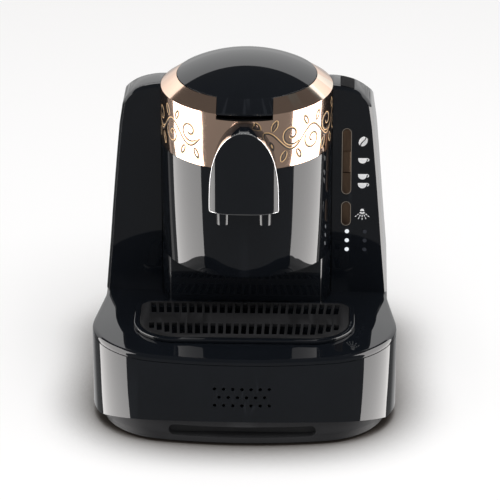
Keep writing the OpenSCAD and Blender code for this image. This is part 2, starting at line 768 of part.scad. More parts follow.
module collar_liner() color(satin_black) {
    outer = drum_r - collar_wall - gap;
    difference() {
        union() {
            drum_rod(flange_z, band_top_z - 2.5, outer);
            drum_rod(liner_z, seat_z, upstand_r);
        }
        drum_rod(flange_z - 1, liner_z, outer - thin_wall);
        difference() {
            drum_rod(liner_z + liner_t, big, outer - thin_wall);
            drum_rod(liner_z, seat_z, upstand_r);
        }
        drum_rod(liner_z - 5, liner_z + liner_t + 1, mouth_r);
        drum_rod(liner_z + liner_t, big, upstand_r - upstand_t);
        block(-knuckle_half - lug_t - 4, knuckle_half + lug_t + 4, drum_y + upstand_r + 1, big,
              liner_z + liner_t, big);
        block(-tongue_w / 2 - gap, tongue_w / 2 + gap, -big, drum_y - upstand_r, slot_z, big);
        rod_z(nozzle_xy[0], nozzle_xy[1], flange_z, liner_z + liner_t + 1, nozzle_r + gap);
        nozzle_arm(nozzle_r + gap, upstand_r + 1);
    }
    // Lugs for the lid hinge
    difference() {
        for (s = [-1, 1]) block(s * (knuckle_half + gap + lug_t / 2) - lug_t / 2,
            s * (knuckle_half + gap + lug_t / 2) + lug_t / 2, lid_hinge_y - 4, lid_hinge_y + 3,
            liner_z + liner_t - 0.5, lid_hinge_z + 3.5);
        rod_x(-30, 30, lid_hinge_y, lid_hinge_z, hinge_pin_r + run / 2);
    }
}

module lid() color(gloss_black) {
    difference() {
        union() {
            intersection() {
                translate([0, drum_y, lid_top_z - lid_sphere_r]) difference() {
                    sphere(lid_sphere_r, $fn = 160);
                    sphere(lid_sphere_r - lid_wall, $fn = 160);
                }
                drum_rod(lid_edge_z, big, lid_r);
            }
            // Ribs that carry the liner
            for (a = [45:90:315]) translate([0, drum_y, 0]) rotate([0, 0, a]) translate([38, 0, lid_inner_z])
                cylinder(h = lid_edge_z - lid_inner_z + 8, r = 4);
            tongue();
            hinge_arm();
        }
        translate([0, drum_y, lid_top_z - lid_sphere_r]) difference() {
            cube(3 * lid_sphere_r, center = true);
            sphere(lid_sphere_r + 0.001, $fn = 160);
            translate([0, -big / 2 - lid_r + 3, 0]) cube(big, center = true);
            translate([0, big / 2 + lid_r - 6, 0]) cube(big, center = true);
        }
        rod_x(-30, 30, lid_hinge_y, lid_hinge_z, hinge_pin_r + run);
    }
}

// Tongue: a slice of the collar's bevel that lifts with the lid
module tongue() intersection() {
    translate([0, drum_y, 0]) rotate_extrude() polygon([
        [lid_r - 3, lid_edge_z - 0.2], [lid_r - 3, lid_edge_z + 1.3], [lid_r, lid_edge_z],
        [drum_r, tongue_end_z], [drum_r, tongue_end_z - lid_wall],
        [lid_r, lid_edge_z - lid_wall]]);
    block(-tongue_w / 2, tongue_w / 2, -big, drum_y, tongue_end_z - tongue_tip, big);
}

module hinge_arm() difference() {
    union() {
        rod_x(-knuckle_half, knuckle_half, lid_hinge_y, lid_hinge_z, knuckle_r);
        block(-knuckle_half, knuckle_half, lid_hinge_y - knuckle_r, lid_hinge_y + 0.4, lid_hinge_z,
              lid_edge_z - 3);
        block(-knuckle_half, knuckle_half, drum_y + lid_r - 6, lid_hinge_y + 0.4, lid_inner_z + gap,
              lid_edge_z + 0.6);
    }
    // The arm stays under the line of the bevel
    side_prism() polygon([[drum_y + lid_r, lid_edge_z],
                          [big, lid_edge_z - bevel_slope * (big - drum_y - lid_r)],
                          [big, big], [drum_y + lid_r, big]]);
}

module lid_liner() color(steel) difference() {
    drum_rod(lid_inner_z - 1.6, lid_inner_z, upstand_r - upstand_t - 1);
    for (a = [0:60:300]) translate([0, drum_y, 0]) rotate([0, 0, a]) translate([20, 0, 0])
        cylinder(h = big, r = 1.5);
}

module lid_seal() color(rubber_grey) difference() {
    drum_rod(seat_z, lid_inner_z, upstand_r - 0.5);
    drum_rod(seat_z - 1, big, upstand_r - upstand_t - 1);
}

module lid_hinge_pin() color(steel)
    rod_x(-knuckle_half - gap - lug_t, knuckle_half + gap + lug_t, lid_hinge_y, lid_hinge_z, hinge_pin_r);

// ---- pod and spouts ------------------------------------------------------------------------

function pod_half(z, grow) = (pod_half_w + grow)
    * sqrt(max(0, 1 - pow((z - pod_bottom_z) / (pod_top_z + grow - pod_bottom_z), 3)));

module pod_outline(grow = 0, low = 0) {
    steps = 26;
    // Finer steps towards the top of the arch
    levels = [for (i = [0:steps]) pod_bottom_z + (pod_top_z + grow - pod_bottom_z)
        * (1 - pow(1 - i / steps, 1.8))];
    right = [for (z = levels) [pod_half(z, grow), z]];
    left = [for (i = [steps - 1:-1:0]) [-pod_half(levels[i], grow), levels[i]]];
    polygon(concat([[pod_half_w + grow, pod_bottom_z - low]], right, left,
                   [[-pod_half_w - grow, pod_bottom_z - low]]));
}

module pod_solid(inset, low = 0) difference() {
    intersection() {
        front_prism(-pod_front, -40) pod_outline(-inset, low);
        rod_z(0, pod_axis_y, 100, big, pod_front_r - inset);
    }
    drum_rod(0, big, drum_r + gap);
}

module pod_cover() color(gloss_black) difference() {
    pod_solid(0);
    intersection() {
        front_prism(-pod_front, -40) pod_outline(-pod_wall, 5);
        rod_z(0, pod_axis_y, 100, big, pod_front_r - pod_wall);
    }
}

module pod_trim() color(steel) difference() {
    intersection() {
        front_prism(-pod_front, -40) difference() {
            pod_outline(0.9);
            pod_outline(0);
        }
        difference() {
            rod_z(0, pod_axis_y, 100, big, pod_front_r - 0.6);
            rod_z(0, pod_axis_y, 90, big + 10, pod_front_r - 2.4);
        }
    }
    drum_rod(0, big, drum_r + gap);
}

module spout_block() color(satin_black) difference() {
    intersection() {
        pod_solid(pod_wall + gap, 3);
        slab(block_bottom_z, block_top_z) square(big, center = true);
    }
    rod_y(0, -spout_y + 1, 0, tube_z, 4 + run);
    rod_x(-spout_gap / 2, spout_gap / 2, -spout_y, tube_z, 2.5);
    rod_y(0, -spout_y, 0, tube_z, 2.5);
    for (s = [-1, 1]) {
        rod_z(s * spout_gap / 2, -spout_y, block_bottom_z - 1, tube_z, spout_bore_r);
        rod_z(s * spout_gap / 2, -spout_y, block_bottom_z - 1, block_bottom_z + 2, spout_r + run);
    }
}

module spouts() color(gloss_black) for (s = [-1, 1]) difference() {
    rod_z(s * spout_gap / 2, -spout_y, block_bottom_z - spout_len, block_bottom_z + 2, spout_r);
    rod_z(s * spout_gap / 2, -spout_y, 0, big, spout_bore_r);
}

module brew_tube() color([0.85, 0.85, 0.83]) difference() {
    rod_y(0, -spout_y + 3, valve_face_y, tube_z, 4);
    rod_y(0, -big / 2, 10, tube_z, 2.5);
}

// ---- pot, heater and valve -----------------------------------------------------------------

module inner_frame() color(steel) difference() {
    union() {
        drum_rod(flange_z - frame_t, flange_z, drum_r - wall - gap);
        for (s = [-1, 1], p = post_spots) rod_z(s * p[0], drum_y + p[1], deck_z, flange_z - 1, post_r);
    }
    drum_rod(flange_z - frame_t - 1, flange_z + 1, pot_r + gap);
    rod_z(nozzle_xy[0], nozzle_xy[1], 230, 300, nozzle_r + 1);
}

module brew_pot() color(steel) difference() {
    union() {
        drum_rod(pot_bottom_z, flange_z + 0.5, pot_r);
        drum_rod(flange_z, flange_z + pot_wall, flange_r);
    }
    drum_rod(pot_bottom_z + pot_wall, big, pot_r - pot_wall);
    drum_rod(0, big, spigot_r + run);
}

module pot_gasket() color(rubber_grey) difference() {
    drum_rod(flange_z + pot_wall, liner_z, flange_r);
    drum_rod(0, big, pot_r - pot_wall);
}

module heater_plate() color([0.8, 0.8, 0.8]) difference() {
    drum_rod(heater_z, pot_bottom_z, heater_r);
    drum_rod(0, big, spigot_r + gap);
}

module heater_element() color([0.5, 0.5, 0.52]) translate([0, drum_y, heater_z - element_r])
    rotate([0, 0, -60]) {
        rotate_extrude(angle = 300) translate([34, 0]) circle(element_r, $fn = 32);
        for (a = [0, 300]) rotate([0, 0, a]) translate([34, 0, -14]) cylinder(h = 14, r = 2.2, $fn = 32);
    }

module thermostat() color([0.75, 0.75, 0.7]) {
    rod_z(0, drum_y + 21, heater_z - 6, heater_z, 8);
    for (s = [-1, 1])
        block(s * 5 - 1.5, s * 5 + 1.5, drum_y + 20.5, drum_y + 21.5, heater_z - 13, heater_z - 6);
}

module valve_body() color([0.85, 0.85, 0.83]) difference() {
    union() {
        drum_rod(valve_bottom_z, heater_z, valve_r);
        drum_rod(heater_z - 1, pot_bottom_z + pot_wall, spigot_r);
        block(-5.5, 5.5, valve_face_y, drum_y, tube_z - 5, heater_z);
    }
    drum_rod(0, big, plunger_r + run);
    rod_y(0, valve_face_y - 1, drum_y, tube_z, 2.5);
}

module valve_coil() color([0.55, 0.3, 0.2]) difference() {
    union() {
        drum_rod(coil_bottom_z, valve_bottom_z, coil_r);
        block(-coil_r - 2, coil_r + 2, drum_y - 8, drum_y + 8, coil_bottom_z, coil_bottom_z + 2);
        block(-coil_r - 2, coil_r + 2, drum_y - 8, drum_y + 8, valve_bottom_z - 2, valve_bottom_z);
    }
    drum_rod(spring_floor_z, big, plunger_r + 0.1);
}

module valve_plunger() color(steel) drum_rod(plunger_bottom_z, plunger_top_z, plunger_r);

module valve_spring() color(steel) translate([0, drum_y, 0])
    coil(spring_floor_z + 0.05, plunger_bottom_z - 0.05, plunger_r - 1, 0.5, 5);

// ---- water tank ----------------------------------------------------------------------------

module tank_solid(inset) intersection() {
    block(-tank_half_w + inset, tank_half_w - inset, tank_front + inset, rear_y - inset,
          tank_bottom_z + inset, big);
    side_prism() polygon([[0, 0], [big, 0], [big, roof_z(big)], [shoulder_rear, shoulder_z],
                          [0, shoulder_z]]);
}

module roof_slice(z_down) side_prism() polygon([
    [shoulder_rear, shoulder_z - z_down], [big, roof_z(big) - z_down], [big, big], [shoulder_rear, big]]);

module water_tank() color([0.25, 0.27, 0.3]) {
    difference() {
        union() {
            tank_solid(0);
            rod_z(-outlet_x, tank_y, nipple_bottom_z, tank_bottom_z + 1, nipple_r);
        }
        tank_solid(thin_wall);
        roof_slice(tank_lid_t + gap);
        rod_z(-outlet_x, tank_y, 0, tank_bottom_z + 10, 3);
    }
    // Cage over the valve
    difference() {
        rod_z(-outlet_x, tank_y, valve_head_z - 0.5, valve_head_z + cage_h, 7.5);
        rod_z(-outlet_x, tank_y, valve_head_z - 1, valve_head_z + cage_h - 1.5, 6);
        for (a = [0, 90]) translate([-outlet_x, tank_y, valve_head_z + 3.5]) rotate([0, 0, a])
            cube([20, 4, 5], center = true);
    }
    // Guide rod of the float
    rod_z(float_x, tank_y, tank_bottom_z + 1, tank_bottom_z + float_travel + 25, 2);
    // Knuckles of the lid hinge
    difference() {
        for (s = [-1, 1]) union() {
            rod_x(s * 22 - 5, s * 22 + 5, tank_hinge_y, tank_hinge_z, tank_knuckle_r);
            block(s * 22 - 5, s * 22 + 5, rear_y - 1, tank_hinge_y, tank_hinge_z - 6, tank_hinge_z);
        }
        rod_x(-60, 60, tank_hinge_y, tank_hinge_z, tank_pin_r + run / 2);
    }
}

module tank_lid() color(gloss_black) difference() {
    union() {
        intersection() {
            block(-tank_half_w, tank_half_w, tank_front, rear_y, 0, big);
            difference() {
                roof_slice(tank_lid_t);
                roof_slice(0);
            }
        }
        for (s = [-1, 1]) {
            rod_x(s * 11.5 - 5, s * 11.5 + 5, tank_hinge_y, tank_hinge_z, tank_knuckle_r);
            block(s * 11.5 - 5, s * 11.5 + 5, rear_y - 1, tank_hinge_y, roof_rear_z - tank_lid_t + gap,
                  roof_rear_z - 0.6);
            block(s * 11.5 - 5, s * 11.5 + 5, rear_y + 0.1, tank_hinge_y + tank_knuckle_r, tank_hinge_z,
                  roof_rear_z - 0.6);
        }
    }
    rod_x(-60, 60, tank_hinge_y, tank_hinge_z, tank_pin_r + run);
}

module tank_hinge_pin() color(steel) rod_x(-27, 27, tank_hinge_y, tank_hinge_z, tank_pin_r);

module tank_valve() color([0.85, 0.3, 0.2]) {
    rod_z(-outlet_x, tank_y, valve_head_z, valve_head_z + 2, 5);
    rod_z(-outlet_x, tank_y, nipple_bottom_z + 1.5, valve_head_z + 1, 1.4);
}

module tank_valve_spring() color(steel) translate([-outlet_x, tank_y, 0])
    coil(valve_head_z + 2.05, valve_head_z + cage_h - 1.55, 3.4, 0.4, 5);

module tank_seal() color(rubber_grey) translate([-outlet_x, tank_y, seal_z])
    rotate_extrude() translate([nipple_r + 1, 0]) circle(0.95, $fn = 32);

module tank_float() color([0.9, 0.9, 0.88]) difference() {
    rod_z(float_x, tank_y, valve_head_z, valve_head_z + 12, float_r);
    rod_z(float_x, tank_y, 0, big, 2 + 0.1);
}

module tank_dock() color(satin_black) difference() {
    union() {
        rod_z(-outlet_x, tank_y, dock_bottom_z, well_floor_z + well_floor_t, dock_r);
        rod_z(-outlet_x, tank_y, well_floor_z - 2.5, well_floor_z, dock_r + 3);
        rod_y(-outlet_x, tank_y - dock_r - 8, tank_y, dock_bottom_z + 5, hose_r - 1);
    }
    rod_z(-outlet_x, tank_y, nipple_bottom_z - 1.5, big, nipple_r + run);
    rod_z(-outlet_x, tank_y, dock_bottom_z + 3, nipple_bottom_z, 3);
    rod_z(-outlet_x, tank_y, seal_z - 1, seal_z + 1, nipple_r + 2);
    rod_y(-outlet_x, tank_y - dock_r - 9, tank_y, dock_bottom_z + 5, 1.4);
}

// ---- pump and hoses ------------------------------------------------------------------------

module pump() color([0.3, 0.3, 0.33]) {
    rod_x(pump_x[0], pump_x[1], pump_y, pump_z, pump_r);
    rod_x(pump_x[0] - 8, pump_x[0] + 1, pump_y, pump_z, 9);
    rod_x(pump_x[1] - 1, pump_x[1] + 10, pump_y, pump_z, 8);
    rod_x(pump_x[0] - 16, pump_x[0] - 7, pump_y, pump_z, hose_r - 1);
    rod_z(pump_out_x, pump_y, pump_z + pump_r - 2, pump_z + pump_r + 6, hose_r - 1);
}

module pump_mounts() color(rubber_grey) for (x = [pump_x[0] + 14, pump_x[1] - 12]) difference() {
    block(x - 6, x + 6, pump_y - 14, pump_y + 14, pan_floor_z, pump_z - 4);
    rod_x(0, big / 2, pump_y, pump_z, pump_r);
}

module inlet_hose() color([0.8, 0.82, 0.84]) difference() {
    hose([[-outlet_x, tank_y - dock_r - 1, dock_bottom_z + 5], [-outlet_x, tank_y - 26, dock_bottom_z + 5],
          [-outlet_x + 30, pump_y + 24, 40], [-outlet_x + 34, pump_y, pump_z],
          [pump_x[0] - 8, pump_y, pump_z]], hose_r, [0.1, 0.1, 1]);
    rod_y(-outlet_x, tank_y - dock_r - 9, tank_y, dock_bottom_z + 5, hose_r - 1);
    rod_x(pump_x[0] - 17, pump_x[0], pump_y, pump_z, hose_r - 1);
}

module feed_hose() color([0.8, 0.82, 0.84]) difference() {
    hose([[pump_out_x, pump_y, pump_z + pump_r], [pump_out_x, pump_y, pump_z + pump_r + 10],
          [16, 36, 78], [24, 40, 120], [nozzle_xy[0], nozzle_xy[1], nozzle_low_z - 8],
          [nozzle_xy[0], nozzle_xy[1], nozzle_low_z + 6]], hose_r, [1, -0.4, 0]);
    rod_z(pump_out_x, pump_y, pump_z, pump_z + pump_r + 6, hose_r - 1);
    rod_z(nozzle_xy[0], nozzle_xy[1], nozzle_low_z, big, hose_r - 1);
}

// Level arm of the fill nozzle, from inside the mouth out to a radius about the drum's axis
module nozzle_arm(r, out_r) translate([0, drum_y, nozzle_z]) rotate([0, 0, 90 - nozzle_angle])
    rotate([0, 90, 0]) translate([0, 0, mouth_r - 2]) cylinder(h = out_r - mouth_r + 2, r = r);

// Water comes up beside the pot and in over its rim
module fill_nozzle() color(satin_black) {
    nozzle_arm(nozzle_r, nozzle_ring_r);
    rod_z(nozzle_xy[0], nozzle_xy[1], flange_z - 3, nozzle_z + nozzle_r, nozzle_r);
    rod_z(nozzle_xy[0], nozzle_xy[1], nozzle_low_z, flange_z - 2, hose_r - 1);
}

// ---- electrics -----------------------------------------------------------------------------

module main_board() color([0.1, 0.35, 0.2]) {
    block(board_x[0], board_x[1], board_y[0], board_y[1], board_z, board_z + 1.6);
    block(-96, -66, 30, 50, board_z + 1.6, board_z + 26);
    block(-54, -38, -14, 14, board_z + 1.6, board_z + 17);
    rod_z(-86, 8, board_z + 1.6, board_z + 26, 8);
    rod_z(-86, -12, board_z + 1.6, board_z + 22, 6.5);
    block(-30, -22, -10, 40, board_z + 1.6, board_z + 12);
}

module terminal_block() color([0.9, 0.9, 0.85]) difference() {
    block(50, 84, 84, 100, pan_floor_z, pan_floor_z + 14);
    for (x = [57, 67, 77]) {
        rod_y(x, 80, 110, pan_floor_z + 6, 2.2);
        rod_z(x, 92, pan_floor_z + 6, 40, 2);
    }
}

module cable_gland() color(satin_black) difference() {
    union() {
        rod_y(gland_x, rear_y, rear_y + gland_proud, gland_z, gland_neck_r + 2.5);
        rod_y(gland_x, rear_y - wall - 9, rear_y + 0.5, gland_z, gland_neck_r);
        translate([gland_x, rear_y - wall, gland_z]) rotate([90, 0, 0])
            cylinder(h = 5, r = gland_neck_r + 4, $fn = 6);
    }
    rod_y(gland_x, 50, big, gland_z, gland_bore_r);
}

module speaker() color([0.15, 0.15, 0.16]) {
    face_y = -depth / 2 + wall + gap;
    rod_y(0, face_y + 4, face_y + 8, sound_z + 1, 15.5);
    rod_y(0, face_y + 7.5, face_y + 13, sound_z + 1, 9);
    difference() {
        rod_y(0, face_y, face_y + 4.5, sound_z + 1, 15.5);
        rod_y(0, face_y - 1, face_y + 4, sound_z + 1, 13.5);
        slab(0, big) difference() {
            square(big, center = true);
            footprint(wall + gap);
        }
    }
}

module ui_board() color([0.1, 0.35, 0.2]) {
    block(button_x - 7.5, button_x + light_gap + 8, ui_y, ui_y + 1.6, light_z - 10, rinse_z + 17);
    block(button_x - 7.5, button_x + 13.5, ui_y, ui_y + 1.6, rinse_z + 16, strip_z + strip_h + 9);
    // Key switches behind the four buttons
    strip_mids = [for (i = [0:2]) strip_z + (i + 0.5) * button_h + i * button_gap];
    for (z = concat(strip_mids, [rinse_z + rinse_h / 2]))
        block(button_x - 3, button_x + 3, switch_front, ui_y + 0.5, z - 3, z + 3);
    for (p = light_spots) rod_y(p[0], panel_back - 0.4, ui_y + 0.5, p[1], 1.5);
    block(button_x - 2.5, button_x + 9.5, ui_y + 1.5, ui_y + 6, rinse_z + 2, rinse_z + 22);
}

module light_guides() color([0.95, 0.95, 0.95]) {
    back = tower_front + panel_wall + gap;
    for (p = light_spots) rod_y(p[0], tower_front - 0.2, back + 1, p[1], light_r);
    block(button_x - 3, button_x + light_gap + 4, back, back + 2, light_z - 3, light_z + 2 * light_pitch + 3);
}

// A button cap: its front shape follows the strip's round ends, its flange lies behind the panel
module button_cap(z, h, window_z, window_h) {
    back = tower_front + panel_wall + gap;
    front_prism(tower_front - button_proud, back + 1) intersection() {
        strip_window(window_z, window_h, 0);
        translate([button_x - 10, z]) square([20, h]);
    }
    block(button_x - button_w / 2 - 2, button_x + button_w / 2 + 2, back, back + 1.5, z, z + h);
    block(button_x - 1.5, button_x + 1.5, back + 1, switch_front - button_travel - 0.1,
          z + h / 2 - 2, z + h / 2 + 2);
}

module strip_button(i) color(copper)
    button_cap(strip_z + i * (button_h + button_gap), button_h, strip_z, strip_h);

module start_button() strip_button(2);
module one_cup_button() strip_button(1);
module two_cup_button() strip_button(0);
module rinse_button() color(copper) button_cap(rinse_z, rinse_h, rinse_z, rinse_h);

module power_key() color(satin_black) {
    top = shoulder_z + key_proud;
    under = shoulder_z - wall - gap;
    block(button_x - key_w / 2, button_x + key_w / 2, key_y0, key_y1, under - 2, top);
    block(button_x - key_w / 2 - 1.5, button_x + key_w / 2 + 1.5, key_y0 + 3, key_y1 + 1.5, under - 2, under);
    block(button_x - 2, button_x + 2, key_y0 + 8, key_y0 + 12, switch_top_z + key_travel + 0.3, under - 1);
}

module power_switch() color([0.15, 0.15, 0.16])
    block(button_x - 6.5, button_x + 6.5, tower_front + panel_wall, key_y0 + 17,
          switch_top_z - 14, switch_top_z);

// ---- assembly ------------------------------------------------------------------------------

base_pan();
feet();
base_shell();
base_cover();
base_screws();
drip_tray();
drip_grille();
left_panel();
control_panel();
bay_panel();
tower_shell();
casing_screws();
drum_shell();
copper_collar();
collar_liner();
inner_frame();
brew_pot();
pot_gasket();
heater_plate();
heater_element();
thermostat();
valve_body();
valve_coil();
valve_plunger();
valve_spring();
brew_tube();
pod_cover();
pod_trim();
spout_block();
spouts();
lid();
lid_liner();
lid_seal();
lid_hinge_pin();
water_tank();
tank_lid();
tank_hinge_pin();
tank_valve();
tank_valve_spring();
tank_seal();
tank_float();
tank_dock();
pump();
pump_mounts();
inlet_hose();
feed_hose();
fill_nozzle();
main_board();
terminal_block();
cable_gland();
speaker();
ui_board();
light_guides();
start_button();
one_cup_button();
two_cup_button();
rinse_button();
power_key();
power_switch();
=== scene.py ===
# Electric Turkish coffee maker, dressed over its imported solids.
# Sizes of the object are in millimetres, those of the camera and the stage in metres.
import math

import bmesh
import bpy
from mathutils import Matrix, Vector

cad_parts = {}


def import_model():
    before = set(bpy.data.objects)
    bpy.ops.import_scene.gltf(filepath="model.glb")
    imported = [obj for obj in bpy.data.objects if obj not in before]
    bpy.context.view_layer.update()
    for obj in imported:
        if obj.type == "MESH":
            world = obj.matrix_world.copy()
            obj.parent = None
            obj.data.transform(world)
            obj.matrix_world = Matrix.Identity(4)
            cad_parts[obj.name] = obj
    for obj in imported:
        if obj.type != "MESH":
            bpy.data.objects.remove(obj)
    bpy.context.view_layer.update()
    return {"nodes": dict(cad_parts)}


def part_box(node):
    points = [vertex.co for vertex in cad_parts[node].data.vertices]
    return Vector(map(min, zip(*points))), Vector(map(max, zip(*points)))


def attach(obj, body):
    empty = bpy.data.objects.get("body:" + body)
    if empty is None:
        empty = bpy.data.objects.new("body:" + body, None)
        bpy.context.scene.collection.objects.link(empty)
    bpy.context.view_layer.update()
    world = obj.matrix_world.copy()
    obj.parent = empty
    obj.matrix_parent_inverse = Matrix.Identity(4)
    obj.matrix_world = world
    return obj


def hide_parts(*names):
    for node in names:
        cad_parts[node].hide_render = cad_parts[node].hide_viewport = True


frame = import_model()
MM = 0.001
NODES = frame["nodes"]


def mm(*v):
    """A point or a length given in millimetres, in metres."""
    return Vector(v) * MM


def share(value, low, run):
    """How far a value has come along a run, from 0 to 1."""
    return min(1, max(0, (value - low) / run))


# ---- camera ------------------------------------------------------------------------------------

ELEVATION, AZIMUTH, DISTANCE = math.radians(24), math.radians(1.7), 3.0
TARGET = mm(0, 0, 150)
SENSOR = 36
# in pixels: the side of the render, the focal length, and where the target lies in it
RENDER, FOCAL, TARGET_X, TARGET_Y = 500, 3438, 246.7, 222.1

back = Vector((math.sin(AZIMUTH) * math.cos(ELEVATION),
               -math.cos(AZIMUTH) * math.cos(ELEVATION), math.sin(ELEVATION)))
cam = bpy.data.objects.new("camera", bpy.data.cameras.new("camera"))
bpy.context.scene.collection.objects.link(cam)
cam.location = TARGET + back * DISTANCE
cam.rotation_euler = back.to_track_quat("Z", "Y").to_euler()
cam.data.sensor_width = SENSOR
cam.data.lens = FOCAL * SENSOR / RENDER
cam.data.shift_x = (RENDER / 2 - TARGET_X) / RENDER
cam.data.shift_y = (TARGET_Y - RENDER / 2) / RENDER
cam.data.clip_end = 20
bpy.context.scene.camera = cam
bpy.context.scene.view_settings.view_transform = "Standard"

# ---- shader nodes ------------------------------------------------------------------------------

# the colour sockets of a Mix node
MIX_A, MIX_B, MIX_OUT = 6, 7, 2


def ramp(tree, source, low, high, to_low=0, to_high=1):
    """Carries a value from one range over to another."""
    node = tree.nodes.new("ShaderNodeMapRange")
    for key, v in (("From Min", low), ("From Max", high), ("To Min", to_low), ("To Max", to_high)):
        node.inputs[key].default_value = v
    tree.links.new(source, node.inputs["Value"])
    return node.outputs["Result"]


def blend(tree, factor, *colours):
    """Mixes two colours, each written out or taken from another node."""
    node = tree.nodes.new("ShaderNodeMix")
    node.data_type = "RGBA"
    tree.links.new(factor, node.inputs["Factor"])
    for socket, colour in zip((MIX_A, MIX_B), colours):
        if isinstance(colour, bpy.types.NodeSocket):
            tree.links.new(colour, node.inputs[socket])
        else:
            node.inputs[socket].default_value = (*colour, 1)
    return node.outputs[MIX_OUT]


def reckon(tree, operation, *terms):
    """A Math node on two terms, each a number or another node's output."""
    node = tree.nodes.new("ShaderNodeMath")
    node.operation = operation
    for socket, term in zip(node.inputs, terms):
        if isinstance(term, bpy.types.NodeSocket):
            tree.links.new(term, socket)
        else:
            socket.default_value = term
    return node.outputs[0]


def drawn_grain(tree, scale):
    """Grain that is drawn out in one direction, as on brushed metal or a wound coil."""
    place, mapping, noise = (tree.nodes.new("ShaderNode" + kind)
                             for kind in ("TexCoord", "Mapping", "TexNoise"))
    mapping.inputs["Scale"].default_value = scale
    noise.inputs["Scale"].default_value = 1
    tree.links.new(place.outputs["Object"], mapping.inputs["Vector"])
    tree.links.new(mapping.outputs["Vector"], noise.inputs["Vector"])
    return noise.outputs["Fac"]


def grain_group():
    """Fine grain, slow clouds and rubbed edges, as masks that the finishes use."""
    g = bpy.data.node_groups.new("moulded_grain", "ShaderNodeTree")
    for name in ("Grain size", "Cloud size"):
        g.interface.new_socket(name, in_out="INPUT", socket_type="NodeSocketFloat")
    for name in ("Grain", "Cloud", "Rubbed"):
        g.interface.new_socket(name, in_out="OUTPUT", socket_type="NodeSocketFloat")
    n, l = g.nodes, g.links
    sizes, masks = n.new("NodeGroupInput"), n.new("NodeGroupOutput")
    place, shape = n.new("ShaderNodeTexCoord"), n.new("ShaderNodeNewGeometry")
    for key, detail in (("Grain", 2), ("Cloud", 3)):
        noise = n.new("ShaderNodeTexNoise")
        noise.inputs["Detail"].default_value = detail
        l.new(place.outputs["Object"], noise.inputs["Vector"])
        l.new(sizes.outputs[key + " size"], noise.inputs["Scale"])
        l.new(noise.outputs["Fac"], masks.inputs[key])
    l.new(ramp(g, shape.outputs["Pointiness"], 0.52, 0.62), masks.inputs["Rubbed"])
    return g


GRAIN = grain_group()

# ---- finishes ----------------------------------------------------------------------------------


def finish(name, colour, rough, metallic=0.0, spread=0.05, tint=0.15, grain=1500, cloud=40, bump=0.0,
           bump_mm=0.02, edge=None, ior=1.5, specular=0.5, transmission=0.0, stretch=None):
    """A procedural finish: colour clouds, uneven gloss, fine grain and paler rubbed edges."""
    m = bpy.data.materials.new(name)
    m.use_nodes = True
    tree = m.node_tree
    surface, masks = tree.nodes["Principled BSDF"], tree.nodes.new("ShaderNodeGroup")
    masks.node_tree = GRAIN
    masks.inputs["Grain size"].default_value = grain
    masks.inputs["Cloud size"].default_value = cloud
    darker = [c * (1 - tint) for c in colour]
    paler = [min(1, c * (1 + tint)) for c in colour]
    rubbed = edge or [min(1, c * 1.5 + 0.004) for c in colour]
    clouds = blend(tree, masks.outputs["Cloud"], darker, paler)
    tree.links.new(blend(tree, masks.outputs["Rubbed"], clouds, rubbed), surface.inputs["Base Color"])
    gloss = ramp(tree, masks.outputs["Cloud"], 0, 1, max(0.01, rough - spread), min(1, rough + spread))
    tree.links.new(gloss, surface.inputs["Roughness"])
    for key, value in (("Metallic", metallic), ("IOR", ior), ("Specular IOR Level", specular),
                       ("Transmission Weight", transmission)):
        surface.inputs[key].default_value = value
    if bump:
        relief = tree.nodes.new("ShaderNodeBump")
        relief.inputs["Strength"].default_value = bump
        relief.inputs["Distance"].default_value = bump_mm * MM
        height = drawn_grain(tree, stretch) if stretch else masks.outputs["Grain"]
        tree.links.new(height, relief.inputs["Height"])
        tree.links.new(relief.outputs["Normal"], surface.inputs["Normal"])
    return m


